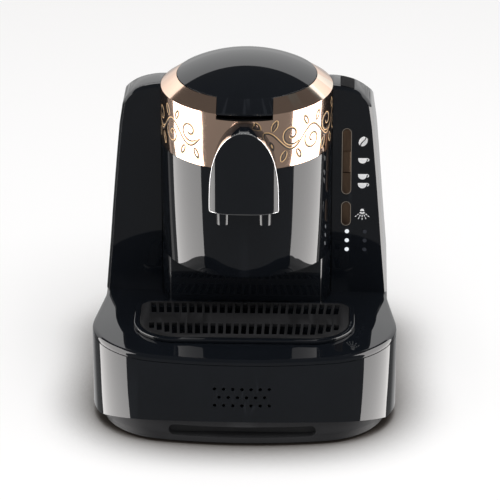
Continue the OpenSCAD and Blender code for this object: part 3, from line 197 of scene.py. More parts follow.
LOOKS = {
    "gloss_black": dict(colour=(0.0050, 0.0062, 0.0085), rough=0.035, spread=0.015, tint=0.2, grain=900,
                        cloud=30, bump=0.03, bump_mm=0.01),
    "satin_black": dict(colour=(0.012, 0.012, 0.013), rough=0.38, spread=0.08, grain=2600, bump=0.25,
                        bump_mm=0.03),
    "key_black": dict(colour=(0.006, 0.006, 0.007), rough=0.8, spread=0.08, grain=2600, bump=0.3,
                      bump_mm=0.03, specular=0.15),
    "dark_grey": dict(colour=(0.034, 0.034, 0.036), rough=0.55, spread=0.1, grain=2400, bump=0.3,
                      bump_mm=0.04, specular=0.2),
    "copper_tone": dict(colour=(0.93, 0.66, 0.51), rough=0.10, metallic=1, spread=0.03, tint=0.04,
                        bump=0.05, bump_mm=0.01, stretch=(40, 40, 5200), edge=(0.95, 0.82, 0.68)),
    "button_tone": dict(colour=(0.13, 0.085, 0.058), rough=0.30, metallic=0.85, spread=0.06, tint=0.1,
                        bump=0.08, edge=(0.16, 0.105, 0.07)),
    # painted shade: a dark flat ribbon stands in for the shade in each engraved line of the vine
    "painted_groove_shade": dict(colour=(0.045, 0.028, 0.018), rough=0.55, spread=0.1, tint=0.3, cloud=300,
                            bump=0.3),
    # painted highlight: a pale gold flat ribbon stands in for the light on the edge of each engraved line
    "painted_edge_highlight": dict(colour=(0.80, 0.52, 0.26), rough=0.5, metallic=0.35, spread=0.1, cloud=300,
                          bump=0.2),
    "steel": dict(colour=(0.62, 0.62, 0.63), rough=0.24, metallic=1, spread=0.06, tint=0.05, bump=0.08,
                  bump_mm=0.01),
    "chrome_edge": dict(colour=(0.86, 0.86, 0.87), rough=0.07, metallic=1, spread=0.02, tint=0.03),
    "aluminium": dict(colour=(0.72, 0.73, 0.74), rough=0.36, metallic=1, spread=0.08, tint=0.06,
                      bump=0.15, bump_mm=0.03),
    "element_sheath": dict(colour=(0.16, 0.15, 0.14), rough=0.4, metallic=1, spread=0.1, bump=0.1),
    "rubber": dict(colour=(0.022, 0.022, 0.024), rough=0.78, spread=0.1, grain=3000, bump=0.3,
                   bump_mm=0.05),
    "hose": dict(colour=(0.78, 0.79, 0.76), rough=0.42, spread=0.08, tint=0.06, bump=0.1),
    "smoky_clear": dict(colour=(0.10, 0.11, 0.13), rough=0.07, spread=0.03, tint=0.1, bump=0.02,
                        transmission=0.75),
    "natural_plastic": dict(colour=(0.72, 0.70, 0.64), rough=0.42, spread=0.08, tint=0.06, bump=0.15,
                            bump_mm=0.03),
    "coil_red": dict(colour=(0.30, 0.09, 0.05), rough=0.35, spread=0.1, bump=0.4, bump_mm=0.1,
                     stretch=(300, 300, 2600)),
    "red_plastic": dict(colour=(0.55, 0.05, 0.035), rough=0.35, spread=0.08, bump=0.1),
    "board_green": dict(colour=(0.02, 0.11, 0.05), rough=0.38, spread=0.08, tint=0.3, cloud=220,
                        bump=0.15),
    "print_white": dict(colour=(0.80, 0.81, 0.82), rough=0.45, spread=0.08, tint=0.05, cloud=400,
                        bump=0.1),
    "light_clear": dict(colour=(0.030, 0.033, 0.042), rough=0.25, tint=0.1, ior=1.49),
}
FINISH = {name: finish(name, **look) for name, look in LOOKS.items()}

# the light points nearer to the drum than this are lit, the outer ones are not
LIT_X = 96.5


def light_up(m):
    """Makes the light points of the inner column glow."""
    tree = m.node_tree
    surface = tree.nodes["Principled BSDF"]
    place, axes = tree.nodes.new("ShaderNodeTexCoord"), tree.nodes.new("ShaderNodeSeparateXYZ")
    tree.links.new(place.outputs["Object"], axes.inputs["Vector"])
    lit = ramp(tree, axes.outputs["X"], LIT_X * MM, (LIT_X + 0.1) * MM, 1, 0)
    tree.links.new(blend(tree, lit, (0, 0, 0), (0.92, 0.96, 1)), surface.inputs["Emission Color"])
    surface.inputs["Emission Strength"].default_value = 0.9


light_up(FINISH["light_clear"])

WEARS = {
    "gloss_black": "base_shell base_cover drip_tray left_panel control_panel bay_panel tower_shell "
                   "drum_shell pod_cover lid tank_lid spouts",
    "satin_black": "drip_grille collar_liner spout_block tank_dock fill_nozzle cable_gland "
                   "power_switch speaker pump",
    "key_black": "power_key",
    "dark_grey": "base_pan",
    "copper_tone": "copper_collar",
    "button_tone": "start_button one_cup_button two_cup_button rinse_button",
    "steel": "base_screws casing_screws inner_frame brew_pot lid_liner lid_hinge_pin "
             "tank_hinge_pin valve_plunger valve_spring tank_valve_spring",
    "chrome_edge": "pod_trim",
    "aluminium": "heater_plate",
    "element_sheath": "heater_element",
    "rubber": "feet pot_gasket lid_seal tank_seal pump_mounts",
    "hose": "inlet_hose feed_hose",
    "smoky_clear": "water_tank",
    "natural_plastic": "thermostat valve_body brew_tube tank_float terminal_block",
    "coil_red": "valve_coil",
    "red_plastic": "tank_valve",
    "board_green": "main_board ui_board",
    "light_clear": "light_guides",
}
FINISH_OF = {name: key for key, names in WEARS.items() for name in names.split()}
for name, key in FINISH_OF.items():
    for s in NODES[name].material_slots:
        s.material = FINISH[key]

# ---- making tools ------------------------------------------------------------------------------


def only(obj):
    bpy.ops.object.select_all(action="DESELECT")
    obj.select_set(True)
    bpy.context.view_layer.objects.active = obj


def edit(obj, action="SELECT"):
    """Opens a piece in edit mode, with all or nothing of it selected."""
    only(obj)
    bpy.ops.object.mode_set(mode="EDIT")
    bpy.ops.mesh.select_all(action=action)
    return obj


def start(name):
    """The primitive that was just added, named, with its place in its mesh, open and all selected."""
    obj = bpy.context.active_object
    obj.name = obj.data.name = name
    only(obj)
    bpy.ops.object.transform_apply(location=True, rotation=True, scale=True)
    return edit(obj)


def done(obj):
    if bpy.context.mode != "OBJECT":
        bpy.ops.object.mode_set(mode="OBJECT")
    return obj


def add(obj, kind, **settings):
    only(obj)
    m = obj.modifiers.new(kind.lower(), kind)
    for k, v in settings.items():
        setattr(m, k, v)
    bpy.ops.object.modifier_apply(modifier=m.name)


def soften(obj, width, angle=30, segments=3, smooth=40):
    """Small rounded edges, as moulded or turned pieces have, and smooth faces between them."""
    if width:
        add(obj, "BEVEL", width=width * MM, segments=segments, limit_method="ANGLE",
            angle_limit=math.radians(angle), use_clamp_overlap=True)
    only(obj)
    bpy.ops.object.shade_smooth_by_angle(angle=math.radians(smooth))
    return obj


def outward(obj, doubles=0.01):
    """Merges doubles and turns all faces outwards."""
    edit(obj)
    bpy.ops.mesh.remove_doubles(threshold=doubles * MM)
    bpy.ops.mesh.normals_make_consistent(inside=False)
    return done(obj)


def look(obj, *way):
    """Turns the faces of an open shell round where its foremost one looks against the given way."""
    way = Vector(way)
    foremost = max(obj.data.polygons, key=lambda p: p.center.dot(way))
    if foremost.normal.dot(way) < 0:
        edit(obj)
        bpy.ops.mesh.flip_normals()
        done(obj)


def settle(obj, body, finish_name, *nodes):
    """Gives a finished piece its finish and its body, and hides the nodes that it stands for."""
    done(obj)
    obj.data.materials.clear()
    obj.data.materials.append(FINISH[finish_name])
    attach(obj, body)
    if nodes:
        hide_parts(*nodes)
    return obj


def box(name, lo, hi):
    """A box by its two corners, in edit mode."""
    bpy.ops.object.select_all(action="DESELECT")
    bpy.ops.mesh.primitive_cube_add(size=1, location=(mm(*hi) + mm(*lo)) / 2)
    bpy.context.active_object.scale = mm(*hi) - mm(*lo)
    return start(name)


def rod(name, a, b, r, sides=48):
    """A round bar between two points, in edit mode."""
    a, b = mm(*a), mm(*b)
    bpy.ops.object.select_all(action="DESELECT")
    bpy.ops.mesh.primitive_cylinder_add(vertices=sides, radius=r * MM, depth=(b - a).length,
                                        location=(a + b) / 2,
                                        rotation=(b - a).to_track_quat("Z", "Y").to_euler())
    return start(name)


def boolean(obj, tool, operation="DIFFERENCE"):
    """Cuts, joins or keeps what the tool covers, and takes the tool away."""
    done(tool)
    done(obj)
    add(obj, "BOOLEAN", object=tool, operation=operation, solver="EXACT")
    bpy.data.objects.remove(tool)
    return obj


def join(name, *objs):
    bpy.ops.object.select_all(action="DESELECT")
    for o in objs:
        o.select_set(True)
    bpy.context.view_layer.objects.active = objs[0]
    bpy.ops.object.join()
    obj = bpy.context.active_object
    obj.name = obj.data.name = name
    return obj


def mesh_from(name, points, faces):
    """A mesh by its points in millimetres."""
    data = bpy.data.meshes.new(name)
    data.from_pydata([mm(*p) for p in points], [], faces)
    obj = bpy.data.objects.new(name, data)
    bpy.context.scene.collection.objects.link(obj)
    return obj


def band(a, b, n):
    """Quads between two closed rows of n points, each row given by the number of its first point."""
    return [(a + i, a + (i + 1) % n, b + (i + 1) % n, b + i) for i in range(n)]


def normal_at(line, i):
    """The unit normal of a line at one of its points, to its left."""
    a, b = line[max(0, i - 1)], line[min(len(line) - 1, i + 1)]
    d = math.hypot(b[0] - a[0], b[1] - a[1]) or 1
    return -(b[1] - a[1]) / d, (b[0] - a[0]) / d


def arc(cx, cy, rx, ry, a0, a1, steps=16):
    """Points along an arc, its angles in degrees."""
    turns = [math.radians(a0 + (a1 - a0) * i / steps) for i in range(steps + 1)]
    return [(cx + rx * math.cos(a), cy + ry * math.sin(a)) for a in turns]


# ---- collar and its ornament -------------------------------------------------------------------

# the drum: its radius and the place of its upright axis
DRUM_R, DRUM_Y = 74, 7
# the collar: lower and upper edge of the band, top of the bevel, inner radius, and the walls of both
BAND_LOW, BAND_TOP, BEVEL_TOP, COLLAR_IN = 227.5, 277.2, 286.6, 60.55
COLLAR_WALL, BEVEL_WALL = 2, 2.4
# two more rows of points keep the tall faces of the band even
BAND_ROWS = (240, 262)
# each notch: half its width and its floor
FRONT_NOTCH, REAR_NOTCH = (24.05, 272.2), (19, 269.5)
# how far the cutting tools reach past what they cut
TOOL_FRONT, TOOL_REAR, TOOL_LOW, TOOL_TOP, TOOL_SIDE = -90, 100, 260, 300, 20
# the vine: how often it repeats round the band, the repeat that the pod hides, and how far it is turned back
REPEATS, HIDDEN_REPEAT, TURNED_BACK = 10, 7, 0.35
# its stem: height of the middle, height of the wave, and steps in a repeat
VINE_Z, VINE_WAVE, STEM_STEPS = 252, 8.5, 60
# its shoots: how far their middle lies from the stem's, outer and inner radius, first angle and turns
SHOOT_OFF, SHOOT_OUT, SHOOT_IN, SHOOT_START, SHOOT_TURNS = 4.5, 9.8, 1.6, 0.9, 1.35
# its leaves: size, how far they stand off the stem, and each one's place beside the crest and angle
LEAF_LONG, LEAF_WIDE, LEAF_OFF = 9.5, 3.6, 1.4
LEAF_PAIR = ((-5.5, 2.0), (5.5, 1.14))
# each layer of the vine, the dark ribbon of painted shade in the groove and the pale one of painted
# highlight on its edge: width of its lines, how far they are moved aside, height over the band
VINE_LAYERS = {"painted_groove_shade": (2.0, 0, 0.03), "painted_edge_highlight": (0.8, 0.75, 0.05)}


def turned(name, profile, sides):
    """A piece turned about the drum's axis: a ring carried along its profile, (radius, height)."""
    r, z = profile[0]
    bpy.ops.object.select_all(action="DESELECT")
    bpy.ops.mesh.primitive_circle_add(vertices=sides, radius=r * MM, location=mm(0, DRUM_Y, z))
    obj = start(name)
    for r1, z1 in profile[1:]:
        bpy.ops.mesh.extrude_edges_move(TRANSFORM_OT_translate={"value": (0, 0, (z1 - z) * MM)})
        if r1 == 0:
            bpy.ops.mesh.merge(type="CENTER")
        elif r1 != r:
            bpy.ops.transform.resize(value=(r1 / r, r1 / r, 1), center_override=mm(0, DRUM_Y, z1))
        r, z = r1, z1
    done(obj)
    return outward(obj)


def collar():
    """The band and its bevel ring, notched for the tongue and the hinge."""
    inner = DRUM_R - COLLAR_WALL
    obj = turned("copper_collar_dressed", [
        (inner, BAND_LOW), (DRUM_R, BAND_LOW), *[(DRUM_R, z) for z in BAND_ROWS], (DRUM_R, BAND_TOP),
        (COLLAR_IN, BEVEL_TOP), (COLLAR_IN, BEVEL_TOP - BEVEL_WALL), (inner, BAND_TOP - 1),
        (inner, BAND_LOW)], sides=256)
    half, floor_z = FRONT_NOTCH
    boolean(obj, box("front_notch", (-half, TOOL_FRONT, floor_z), (half, DRUM_Y, TOOL_TOP)))
    half, floor_z = REAR_NOTCH
    boolean(obj, box("rear_notch", (-half, DRUM_Y, floor_z), (half, TOOL_REAR, TOOL_TOP)))
    soften(obj, 0.45, angle=25, segments=4)
    settle(obj, "machine", "copper_tone", "copper_collar")


def ribbon(line, width, shift):
    """A flat line of the ornament, thinner at both ends, as points and quads."""
    points, faces = [], []
    last = len(line) - 1
    for i, (s, z) in enumerate(line):
        n = normal_at(line, i)
        # two fifths of the width at the ends, and all of it from an eighth of the way in
        w = width / 2 * min(1, 0.4 + 5 * min(i, last - i) / last)
        points += [(s + n[0] * (shift + w), z + n[1] * (shift + w)),
                   (s + n[0] * (shift - w), z + n[1] * (shift - w))]
        if i:
            faces.append((2 * i - 2, 2 * i - 1, 2 * i + 1, 2 * i))
    return points, faces


def spiral(cs, cz, r0, r1, turn0, turns, steps=48):
    """A curled shoot, from its outer radius to its inner one."""
    out = []
    for i in range(steps + 1):
        t = i / steps
        r, a = r0 + (r1 - r0) * t, turn0 + 2 * math.pi * turns * t
        out.append((cs + r * math.cos(a), cz + r * math.sin(a)))
    return out


def leaf(cs, cz, angle, steps=14):
    """A slim pointed leaf, closed."""
    ca, sa = math.cos(angle), math.sin(angle)
    out = []
    for side in (1, -1):
        for i in range(steps + 1):
            t = i / steps if side > 0 else 1 - i / steps
            u, v = LEAF_LONG * t, side * LEAF_WIDE / 2 * math.sin(math.pi * t) ** 0.8
            out.append((cs + u * ca - v * sa, cz + u * sa + v * ca))
    return out


def ornament():
    """A running vine round the band, its engraved lines drawn as flat ribbons of painted shade and painted
    highlight: a waving stem, curled shoots and leaves.
    """
    repeat = 2 * math.pi * DRUM_R / REPEATS
    lines = [[(s * repeat / STEM_STEPS, VINE_Z + VINE_WAVE * math.sin(2 * math.pi * s / STEM_STEPS))
              for s in range(STEM_STEPS + 1)]]
    for up in (1, -1):
        # the stem's crest lies a quarter of the repeat on, and its trough three quarters
        crest = repeat * (0.25 if up > 0 else 0.75)
        foot_z = VINE_Z + up * (VINE_WAVE + LEAF_OFF)
        lines.append(spiral(crest, VINE_Z - up * SHOOT_OFF, SHOOT_OUT, SHOOT_IN,
                            math.pi / 2 * up + SHOOT_START, SHOOT_TURNS * up))
        lines += [leaf(crest + aside, foot_z, up * angle) for aside, angle in LEAF_PAIR]
    for name, (width, shift, height) in VINE_LAYERS.items():
        points, faces = [], []
        for line in lines:
            p, f = ribbon(line, width, shift)
            faces += [[i + len(points) for i in q] for q in f]
            points += p
        copies = []
        for k in range(REPEATS):
            if k == HIDDEN_REPEAT:
                continue
            r, turn = DRUM_R + height, (k - TURNED_BACK) * 2 * math.pi / REPEATS
            copies.append(mesh_from(f"vine_{k}", [
                (r * math.cos(s / DRUM_R + turn), DRUM_Y + r * math.sin(s / DRUM_R + turn), z)
                for s, z in points], faces))
        settle(join(name, *copies), "machine", name)


# ---- lid ---------------------------------------------------------------------------------------

# the lid: its radius, the heights of its edge and top, its wall, and the sphere of its dome
LID_R, LID_EDGE, LID_TOP, LID_WALL = 60.25, 287.1, 303, 2.5
SPHERE_R = (LID_R ** 2 + (LID_TOP - LID_EDGE) ** 2) / (2 * (LID_TOP - LID_EDGE))
SPHERE_Z = LID_TOP - SPHERE_R
# the tongue: its inner line, half its width, and its underside and top there
TONGUE_IN, TONGUE_HALF, TONGUE_UNDER, TONGUE_TOP = 57.6, 23.75, 287.0, 288.1
# its underside and top at its tip, and its underside below the lid's edge
TIP_UNDER, TIP_TOP, TONGUE_SEAT = 276.6, 277.8, 284.6
# the rounded front line of the tongue: its radius and the middle of its circle
TONGUE_END_R, TONGUE_END_Y = 114, 48.4
# the hinge: its axis, the radius of its knuckle and of the bore for its pin
HINGE_Y, HINGE_Z, KNUCKLE_R, PIN_BORE_R = 74, 276, 4, 1.83
# the arm: half its width, front, rear, underside and uncut top, and the front and top of its leg
ARM_HALF, ARM_FRONT, ARM_REAR, ARM_UNDER, ARM_TOP, LEG_FRONT, LEG_TOP = 11, 62.5, 74.4, 282.7, 290, 70, 284.1
# its top is cut to a slope, which starts here at the height of the lid's edge and falls this steeply
SLOPE_FRONT, SLOPE_FALL = 60, 0.56


def lid_dome():
    """The dome as a shell: its upper and its under side, closed by a small flat in the middle."""
    under_r = SPHERE_R - LID_WALL
    over = [(SPHERE_R * math.sin(a), SPHERE_Z + SPHERE_R * math.cos(a))
            for a in (math.asin(LID_R / SPHERE_R) * (1 - i / 30) for i in range(1, 30))]
    under = [(under_r * math.sin(a), SPHERE_Z + under_r * math.cos(a))
             for a in (math.acos((LID_EDGE - SPHERE_Z) / under_r) * i / 12 for i in range(1, 13))]
    profile = [(0.5, LID_TOP - LID_WALL)] + under + [(LID_R, LID_EDGE)] + over + [(0, LID_TOP)]
    dome = turned("lid_dome", profile, sides=256)
    edit(dome, "DESELECT")
    bpy.ops.mesh.select_non_manifold()
    bpy.ops.mesh.fill()
    done(dome)
    return soften(dome, 0.35, angle=35, segments=4)


def lid_tongue():
    """The black tongue that lies in the notch of the bevel."""
    tongue = turned("lid_tongue", [
        (TONGUE_IN, TONGUE_UNDER), (TONGUE_IN, TONGUE_TOP), (LID_R, LID_EDGE), (DRUM_R, TIP_TOP),
        (DRUM_R, TIP_UNDER), (DRUM_R - COLLAR_WALL, TIP_UNDER), (LID_R, TONGUE_SEAT),
        (TONGUE_IN, TONGUE_UNDER)], sides=512)
    sides = box("sides", (-TONGUE_HALF, TOOL_FRONT, TOOL_LOW), (TONGUE_HALF, DRUM_Y, TOOL_TOP))
    boolean(tongue, sides, "INTERSECT")
    end = rod("end", (0, TONGUE_END_Y, TOOL_LOW), (0, TONGUE_END_Y, TOOL_TOP), TONGUE_END_R, sides=360)
    boolean(tongue, end, "INTERSECT")
    return soften(tongue, 0.35, angle=25)


def lid_arm():
    """The arm from the lid's rim down to the hinge, its top cut to a slope."""
    arm = done(box("lid_arm", (-ARM_HALF, ARM_FRONT, ARM_UNDER), (ARM_HALF, ARM_REAR, ARM_TOP)))
    boolean(arm, box("leg", (-ARM_HALF, LEG_FRONT, HINGE_Z), (ARM_HALF, ARM_REAR, LEG_TOP)), "UNION")
    knuckle = rod("knuckle", (-ARM_HALF, HINGE_Y, HINGE_Z), (ARM_HALF, HINGE_Y, HINGE_Z), KNUCKLE_R)
    boolean(arm, knuckle, "UNION")
    slope = done(box("slope", (-TOOL_SIDE, SLOPE_FRONT, LID_EDGE), (TOOL_SIDE, TOOL_REAR, TOOL_TOP)))
    for v in slope.data.vertices:
        v.co.z -= SLOPE_FALL * (v.co.y - SLOPE_FRONT * MM)
    boolean(arm, slope)
    boolean(arm, rod("bore", (-TOOL_SIDE, HINGE_Y, HINGE_Z), (TOOL_SIDE, HINGE_Y, HINGE_Z), PIN_BORE_R))
    return soften(arm, 0.3)


def lid():
    """Domed lid with its tongue and the arm of its hinge, in one piece."""
    settle(join("lid_dressed", lid_dome(), lid_tongue(), lid_arm()), "lid", "gloss_black", "lid")


# ---- pod ---------------------------------------------------------------------------------------

# the pod: its lower edge, the tip of its arch, half its width at the foot, and its wall
POD_LOW, POD_TOP, POD_HALF, POD_WALL = 197, 270.5, 28.75, 2.2
# where the face stands in the middle and at its sides, and how much its top is cut off
POD_FACE, POD_SIDE, POD_BLUNT = -90.4, -83.3, 0.4
# the columns and rows of its face, and how far its sides stay clear of the drum
POD_COLUMNS, POD_ROWS, POD_GAP = 40, 56, 0.35
# the bar: its radius, and how far its middle lies outside the arch, under it and behind the face
BAR_R, BAR_OUT, BAR_UNDER, BAR_BEHIND = 0.45, 0.3, 0.1, 0.5


def pod_half(z):
    """Half the width of the arch at a height."""
    return POD_HALF * math.sqrt(max(0.0, 1 - ((z - POD_LOW) / (POD_TOP - POD_LOW)) ** 3))


def pod_face(x):
    """Where the bowed face stands: nearly flat in the middle and turned back at both sides."""
    return POD_FACE + (POD_SIDE - POD_FACE) * (abs(x) / POD_HALF) ** 4.2


def pod_height(t, top):
    """Height of a share of the way up, with the rows closer together near the top."""
    return POD_LOW + (top - POD_LOW) * (1 - (1 - t) ** 1.8)


def pod():
    """The arched pod: a bowed front, and sides that go back to the drum."""
    bpy.ops.object.select_all(action="DESELECT")
    bpy.ops.mesh.primitive_grid_add(x_subdivisions=POD_COLUMNS, y_subdivisions=POD_ROWS, size=1)
    obj = done(start("pod_cover_dressed"))
    for v in obj.data.vertices:
        z = pod_height(v.co.y + 0.5, POD_TOP - POD_BLUNT)
        # the outermost columns stop a little short of a quarter turn
        x = pod_half(z) * math.sin(v.co.x * math.pi * 0.999)
        v.co = mm(x, pod_face(x), z)
    edit(obj, "DESELECT")
    bpy.ops.mesh.select_non_manifold()
    bpy.ops.mesh.extrude_edges_move(TRANSFORM_OT_translate={"value": mm(0, 12, 0)})
    done(obj)
    # the rear edge of the sides follows the drum
    for v in obj.data.vertices:
        if v.select:
            v.co.y = (DRUM_Y - math.sqrt((DRUM_R + POD_GAP) ** 2 - (v.co.x / MM) ** 2)) * MM
    outward(obj, 0.05)
    look(obj, 0, -1, 0)
    add(obj, "SOLIDIFY", thickness=POD_WALL * MM, offset=-1, use_even_offset=True)
    soften(obj, 0.7, angle=40, segments=4, smooth=45)
    settle(obj, "machine", "gloss_black", "pod_cover")


def pod_bar(sides=10):
    """The thin bright bar all round the face of the pod."""
    heights = [pod_height(i / 60, POD_TOP) for i in range(60)]
    right = [(pod_half(z) + BAR_OUT, z) for z in heights] + [(0, POD_TOP + BAR_OUT)]
    bottom = [(-POD_HALF + POD_HALF * 2 * i / 24, POD_LOW - BAR_UNDER) for i in range(1, 24)]
    outline = right + [(-x, z) for x, z in reversed(right[:-1])] + bottom
    path = [Vector((x, pod_face(min(abs(x), POD_HALF)) + BAR_BEHIND, z)) for x, z in outline]
    points, faces = [], []
    for i, p in enumerate(path):
        along = (path[(i + 1) % len(path)] - path[i - 1]).normalized()
        side = along.cross(Vector((0, 1, 0))).normalized()
        front = along.cross(side)
        for u, v in arc(0, 0, BAR_R, BAR_R, 0, 360, sides)[:-1]:
            points.append(p + side * u + front * v)
        faces += band(i * sides, (i + 1) % len(path) * sides, sides)
    bar = outward(mesh_from("pod_trim_dressed", points, faces), 0.0001)
    soften(bar, 0, smooth=60)
    settle(bar, "machine", "chrome_edge", "pod_trim")


# ---- base cover --------------------------------------------------------------------------------

# the base in plan: half its width, front corners, front, radius of its bow, and how its sides draw in
HALF_W, CORNER_R, FRONT, BOW_R, TAPER = 131.25, 68, 137.5, 418, math.radians(8.1)
# half its width behind, its rear and the rear corners
WAIST, REAR, REAR_R = 123.5, 134, 30
# the heights of the deck, of the rounded edge and of the seam, the radius of that edge, and the wall
DECK_Z, EDGE_Z, SEAM_Z, EDGE_R, COVER_WALL = 85, 83, 77.6, 4, 2.0
# the oval deck: its middle, half its width and depth, how square it is, and where it ends at the panels
OVAL_Y, OVAL_HALF_X, OVAL_HALF_Y, OVAL_POWER, DECK_BACK = -50, 110.5, 66, 2.4, 2.0
# the flat ground of the tower behind it, as shares of the cover's width and depth there
GROUND_WIDE, GROUND_DEEP = 0.9, 0.93
# the bowl of the tray: half its width, front, rear, the radii of its front and rear corners
BOWL = (90, -104, -34.5, 33, 11)
# its well: how much wider it is all round, the radius of its lip, and its depth
WELL_GAP, WELL_LIP, WELL_DEPTH = 0.3, 1.2, 20.3


def footprint(inset):
    """Plan of the base as one loop, from the middle of the front round by the right."""
    cx = HALF_W - CORNER_R
    apex = BOW_R - FRONT
    cy = apex - math.sqrt((BOW_R - CORNER_R) ** 2 - cx ** 2)
    bow, corner = BOW_R - inset, CORNER_R - inset
    # the bow and the corner meet at this angle
    meet = math.atan2(cy - apex, cx)
    half = [(bow * math.cos(a), apex + bow * math.sin(a))
            for a in (-math.pi / 2 + (meet + math.pi / 2) * i / 20 for i in range(20))]
    half += [(cx + corner * math.cos(a), cy + corner * math.sin(a))
             for a in (meet + (TAPER - meet) * i / 44 for i in range(45))]
    # the side draws in until it is as narrow as the rear part
    x1 = WAIST - inset
    y1 = cy + (cx + corner / math.cos(TAPER) - x1) / math.tan(TAPER)
    x0, y0 = half[-1]
    half += [(x0 + (x1 - x0) * i / 8, y0 + (y1 - y0) * i / 8) for i in range(1, 9)]
    y2 = REAR - REAR_R
    half += [(x1, y1 + (y2 - y1) * i / 12) for i in range(1, 12)]
    half += arc(WAIST - REAR_R, y2, REAR_R - inset, REAR_R - inset, 0, 90, 12)
    half += [((WAIST - REAR_R) * (1 - i / 6), REAR - inset) for i in range(1, 6)]
    return half + [(0, REAR - inset)] + [(-x, y) for x, y in reversed(half[1:])]


def rounded_plan(half_w, y0, y1, r0, r1, grow):
    """Plan with two front and two rear corner radii, from the front right corner on."""
    corners = ((half_w - r0, y0 + r0, r0, -90), (half_w - r1, y1 - r1, r1, 0),
               (-half_w + r1, y1 - r1, r1, 90), (-half_w + r0, y0 + r0, r0, 180))
    return [p for cx, cy, r, a in corners for p in arc(cx, cy, r + grow, r + grow, a, a + 90, 14)]


def deck_outline(edge):
    """The oval deck in front, and the flat ground of the tower behind it, for each point of the edge."""
    outline = []
    for x, y in edge:
        if y < DECK_BACK:
            # the oval's point in the same direction from its middle
            a = math.atan2(y - OVAL_Y, x)
            k = ((abs(math.cos(a)) / OVAL_HALF_X) ** OVAL_POWER
                 + (abs(math.sin(a)) / OVAL_HALF_Y) ** OVAL_POWER)
            r = k ** (-1 / OVAL_POWER)
            outline.append((r * math.cos(a), min(OVAL_Y + r * math.sin(a), DECK_BACK), DECK_Z))
        else:
            outline.append((x * GROUND_WIDE, DECK_BACK + (y - DECK_BACK) * GROUND_DEEP, EDGE_Z))
    return outline


def cover_rows():
    """The rows of the cover from its seam up over the rounded edge to the outline of the deck."""
    rows = [[(x, y, SEAM_Z + up) for x, y in footprint(inset)]
            for inset, up in ((0.9, 0), (0.3, 0.3), (0, 0.9))]
    for t in (math.pi / 2 * i / 8 for i in range(9)):
        rows.append([(x, y, EDGE_Z - EDGE_R + EDGE_R * math.sin(t))
                     for x, y in footprint(EDGE_R * (1 - math.cos(t)))])
    edge = footprint(EDGE_R)
    deck = deck_outline(edge)
    for k in (0.25, 0.5, 0.75):
        rows.append([(a[0] + (b[0] - a[0]) * k, a[1] + (b[1] - a[1]) * k, EDGE_Z + (b[2] - EDGE_Z) * k)
                     for a, b in zip(edge, deck)])
    return rows + [deck]


def well_rows():
    """The rows of the tray's well, from its rounded lip down to its floor."""
    rows = []
    for a in (math.pi / 2 * k / 4 for k in range(5)):
        out, drop = WELL_LIP * (1 - math.sin(a)), WELL_LIP * (1 - math.cos(a))
        rows.append([(x, y, DECK_Z - drop) for x, y in rounded_plan(*BOWL, WELL_GAP + out)])
    return rows + [[(x, y, DECK_Z - WELL_DEPTH) for x, y in rounded_plan(*BOWL, WELL_GAP)]]


def base_cover():
    """Cover with a rounded edge, a crown up to the oval deck, and the well of the tray."""
    outer, inner = cover_rows(), well_rows()
    n, m = len(outer[0]), len(inner[0])
    rim = (len(outer) - 1) * n
    well = len(outer) * n
    floor_row = well + (len(inner) - 1) * m
    rear = [i for i, (x, y) in enumerate(footprint(EDGE_R)) if y >= DECK_BACK]
    front = [rim + i for i in [*range(rear[-1] + 1, n), *range(rear[0])]]
    faces = [q for j in range(len(outer) - 1) for q in band(j * n, (j + 1) * n, n)]
    faces.append([rim + i for i in rear])
    faces += [q for j in range(len(inner) - 1) for q in band(well + j * m, well + (j + 1) * m, m)]
    faces.append([floor_row + i for i in range(m)])
    # the narrow strip between the deck and the ground of the tower
    faces.append((front[-1], rim + rear[0], rim + rear[-1], front[0]))
    obj = mesh_from("base_cover_dressed", [p for row in outer + inner for p in row], faces)

    # the deck is filled in between its outline and the lip of the well
    bm = bmesh.new()
    bm.from_mesh(obj.data)
    bm.verts.ensure_lookup_table()
    pairs = list(zip(front, front[1:])) + [(front[0], front[-1])]
    pairs += [(well + i, well + (i + 1) % m) for i in range(m)]
    edges = [bm.edges.get((bm.verts[a], bm.verts[b])) for a, b in pairs]
    bmesh.ops.triangle_fill(bm, use_beauty=True, use_dissolve=False, edges=edges, normal=(0, 0, 1))
    bm.to_mesh(obj.data)
    bm.free()
    outward(obj)
    look(obj, 0, 0, 1)
    add(obj, "SOLIDIFY", thickness=COVER_WALL * MM, offset=-1, use_even_offset=False)
    soften(obj, 0, smooth=14)
    settle(obj, "machine", "gloss_black", "base_cover")


# ---- signs and rims of the buttons -------------------------------------------------------------

# the face of the control panel, how far the print stands off it, and how thick it is
PANEL_Y, PRINT_GAP, PRINT_THICK = 2.3, 0.01, 0.04
# where the signs stand, and how large the bean and the cups are drawn
SIGN_X, BEAN_Z, BEAN_SIZE, BEAN_LEAN, SPRAY_Z = 100.6, 226.5, 0.92, math.radians(-28), 157.5
CUP_X, CUP_HEIGHTS, CUP_SIZE = SIGN_X - 0.3, (208.6, 193.6, 185.2), 0.95
# the fan of drops: its angles in degrees, where its drops start, how long and how wide they are
DROP_ANGLES, DROP_STARTS, DROP_LONG, DROP_WIDE = (-138, -114, -90, -66, -42), (1.4, 4.0, 6.6), 1.7, 0.75
# the flange behind the panel is this much wider than the button's cap on each side
FLANGE = 2
# the rim lies round the cap between these two distances, and this far behind and before the panel
RIM_IN, RIM_OUT, RIM_BEHIND, RIM_BEFORE = 0.4, 0.85, 0.05, 0.25


def plate(outline, x, z, scale=1.0):
    """A thin printed shape on the control panel, by its outline."""
    obj = mesh_from("sign_part", [(x + u * scale, PANEL_Y - PRINT_GAP, z + v * scale) for u, v in outline],
                    [tuple(range(len(outline)))])
    edit(obj)
    bpy.ops.mesh.extrude_region_move(TRANSFORM_OT_translate={"value": mm(0, -PRINT_THICK, 0)})
    bpy.ops.mesh.select_all(action="SELECT")
    bpy.ops.mesh.normals_make_consistent(inside=False)
    return done(obj)


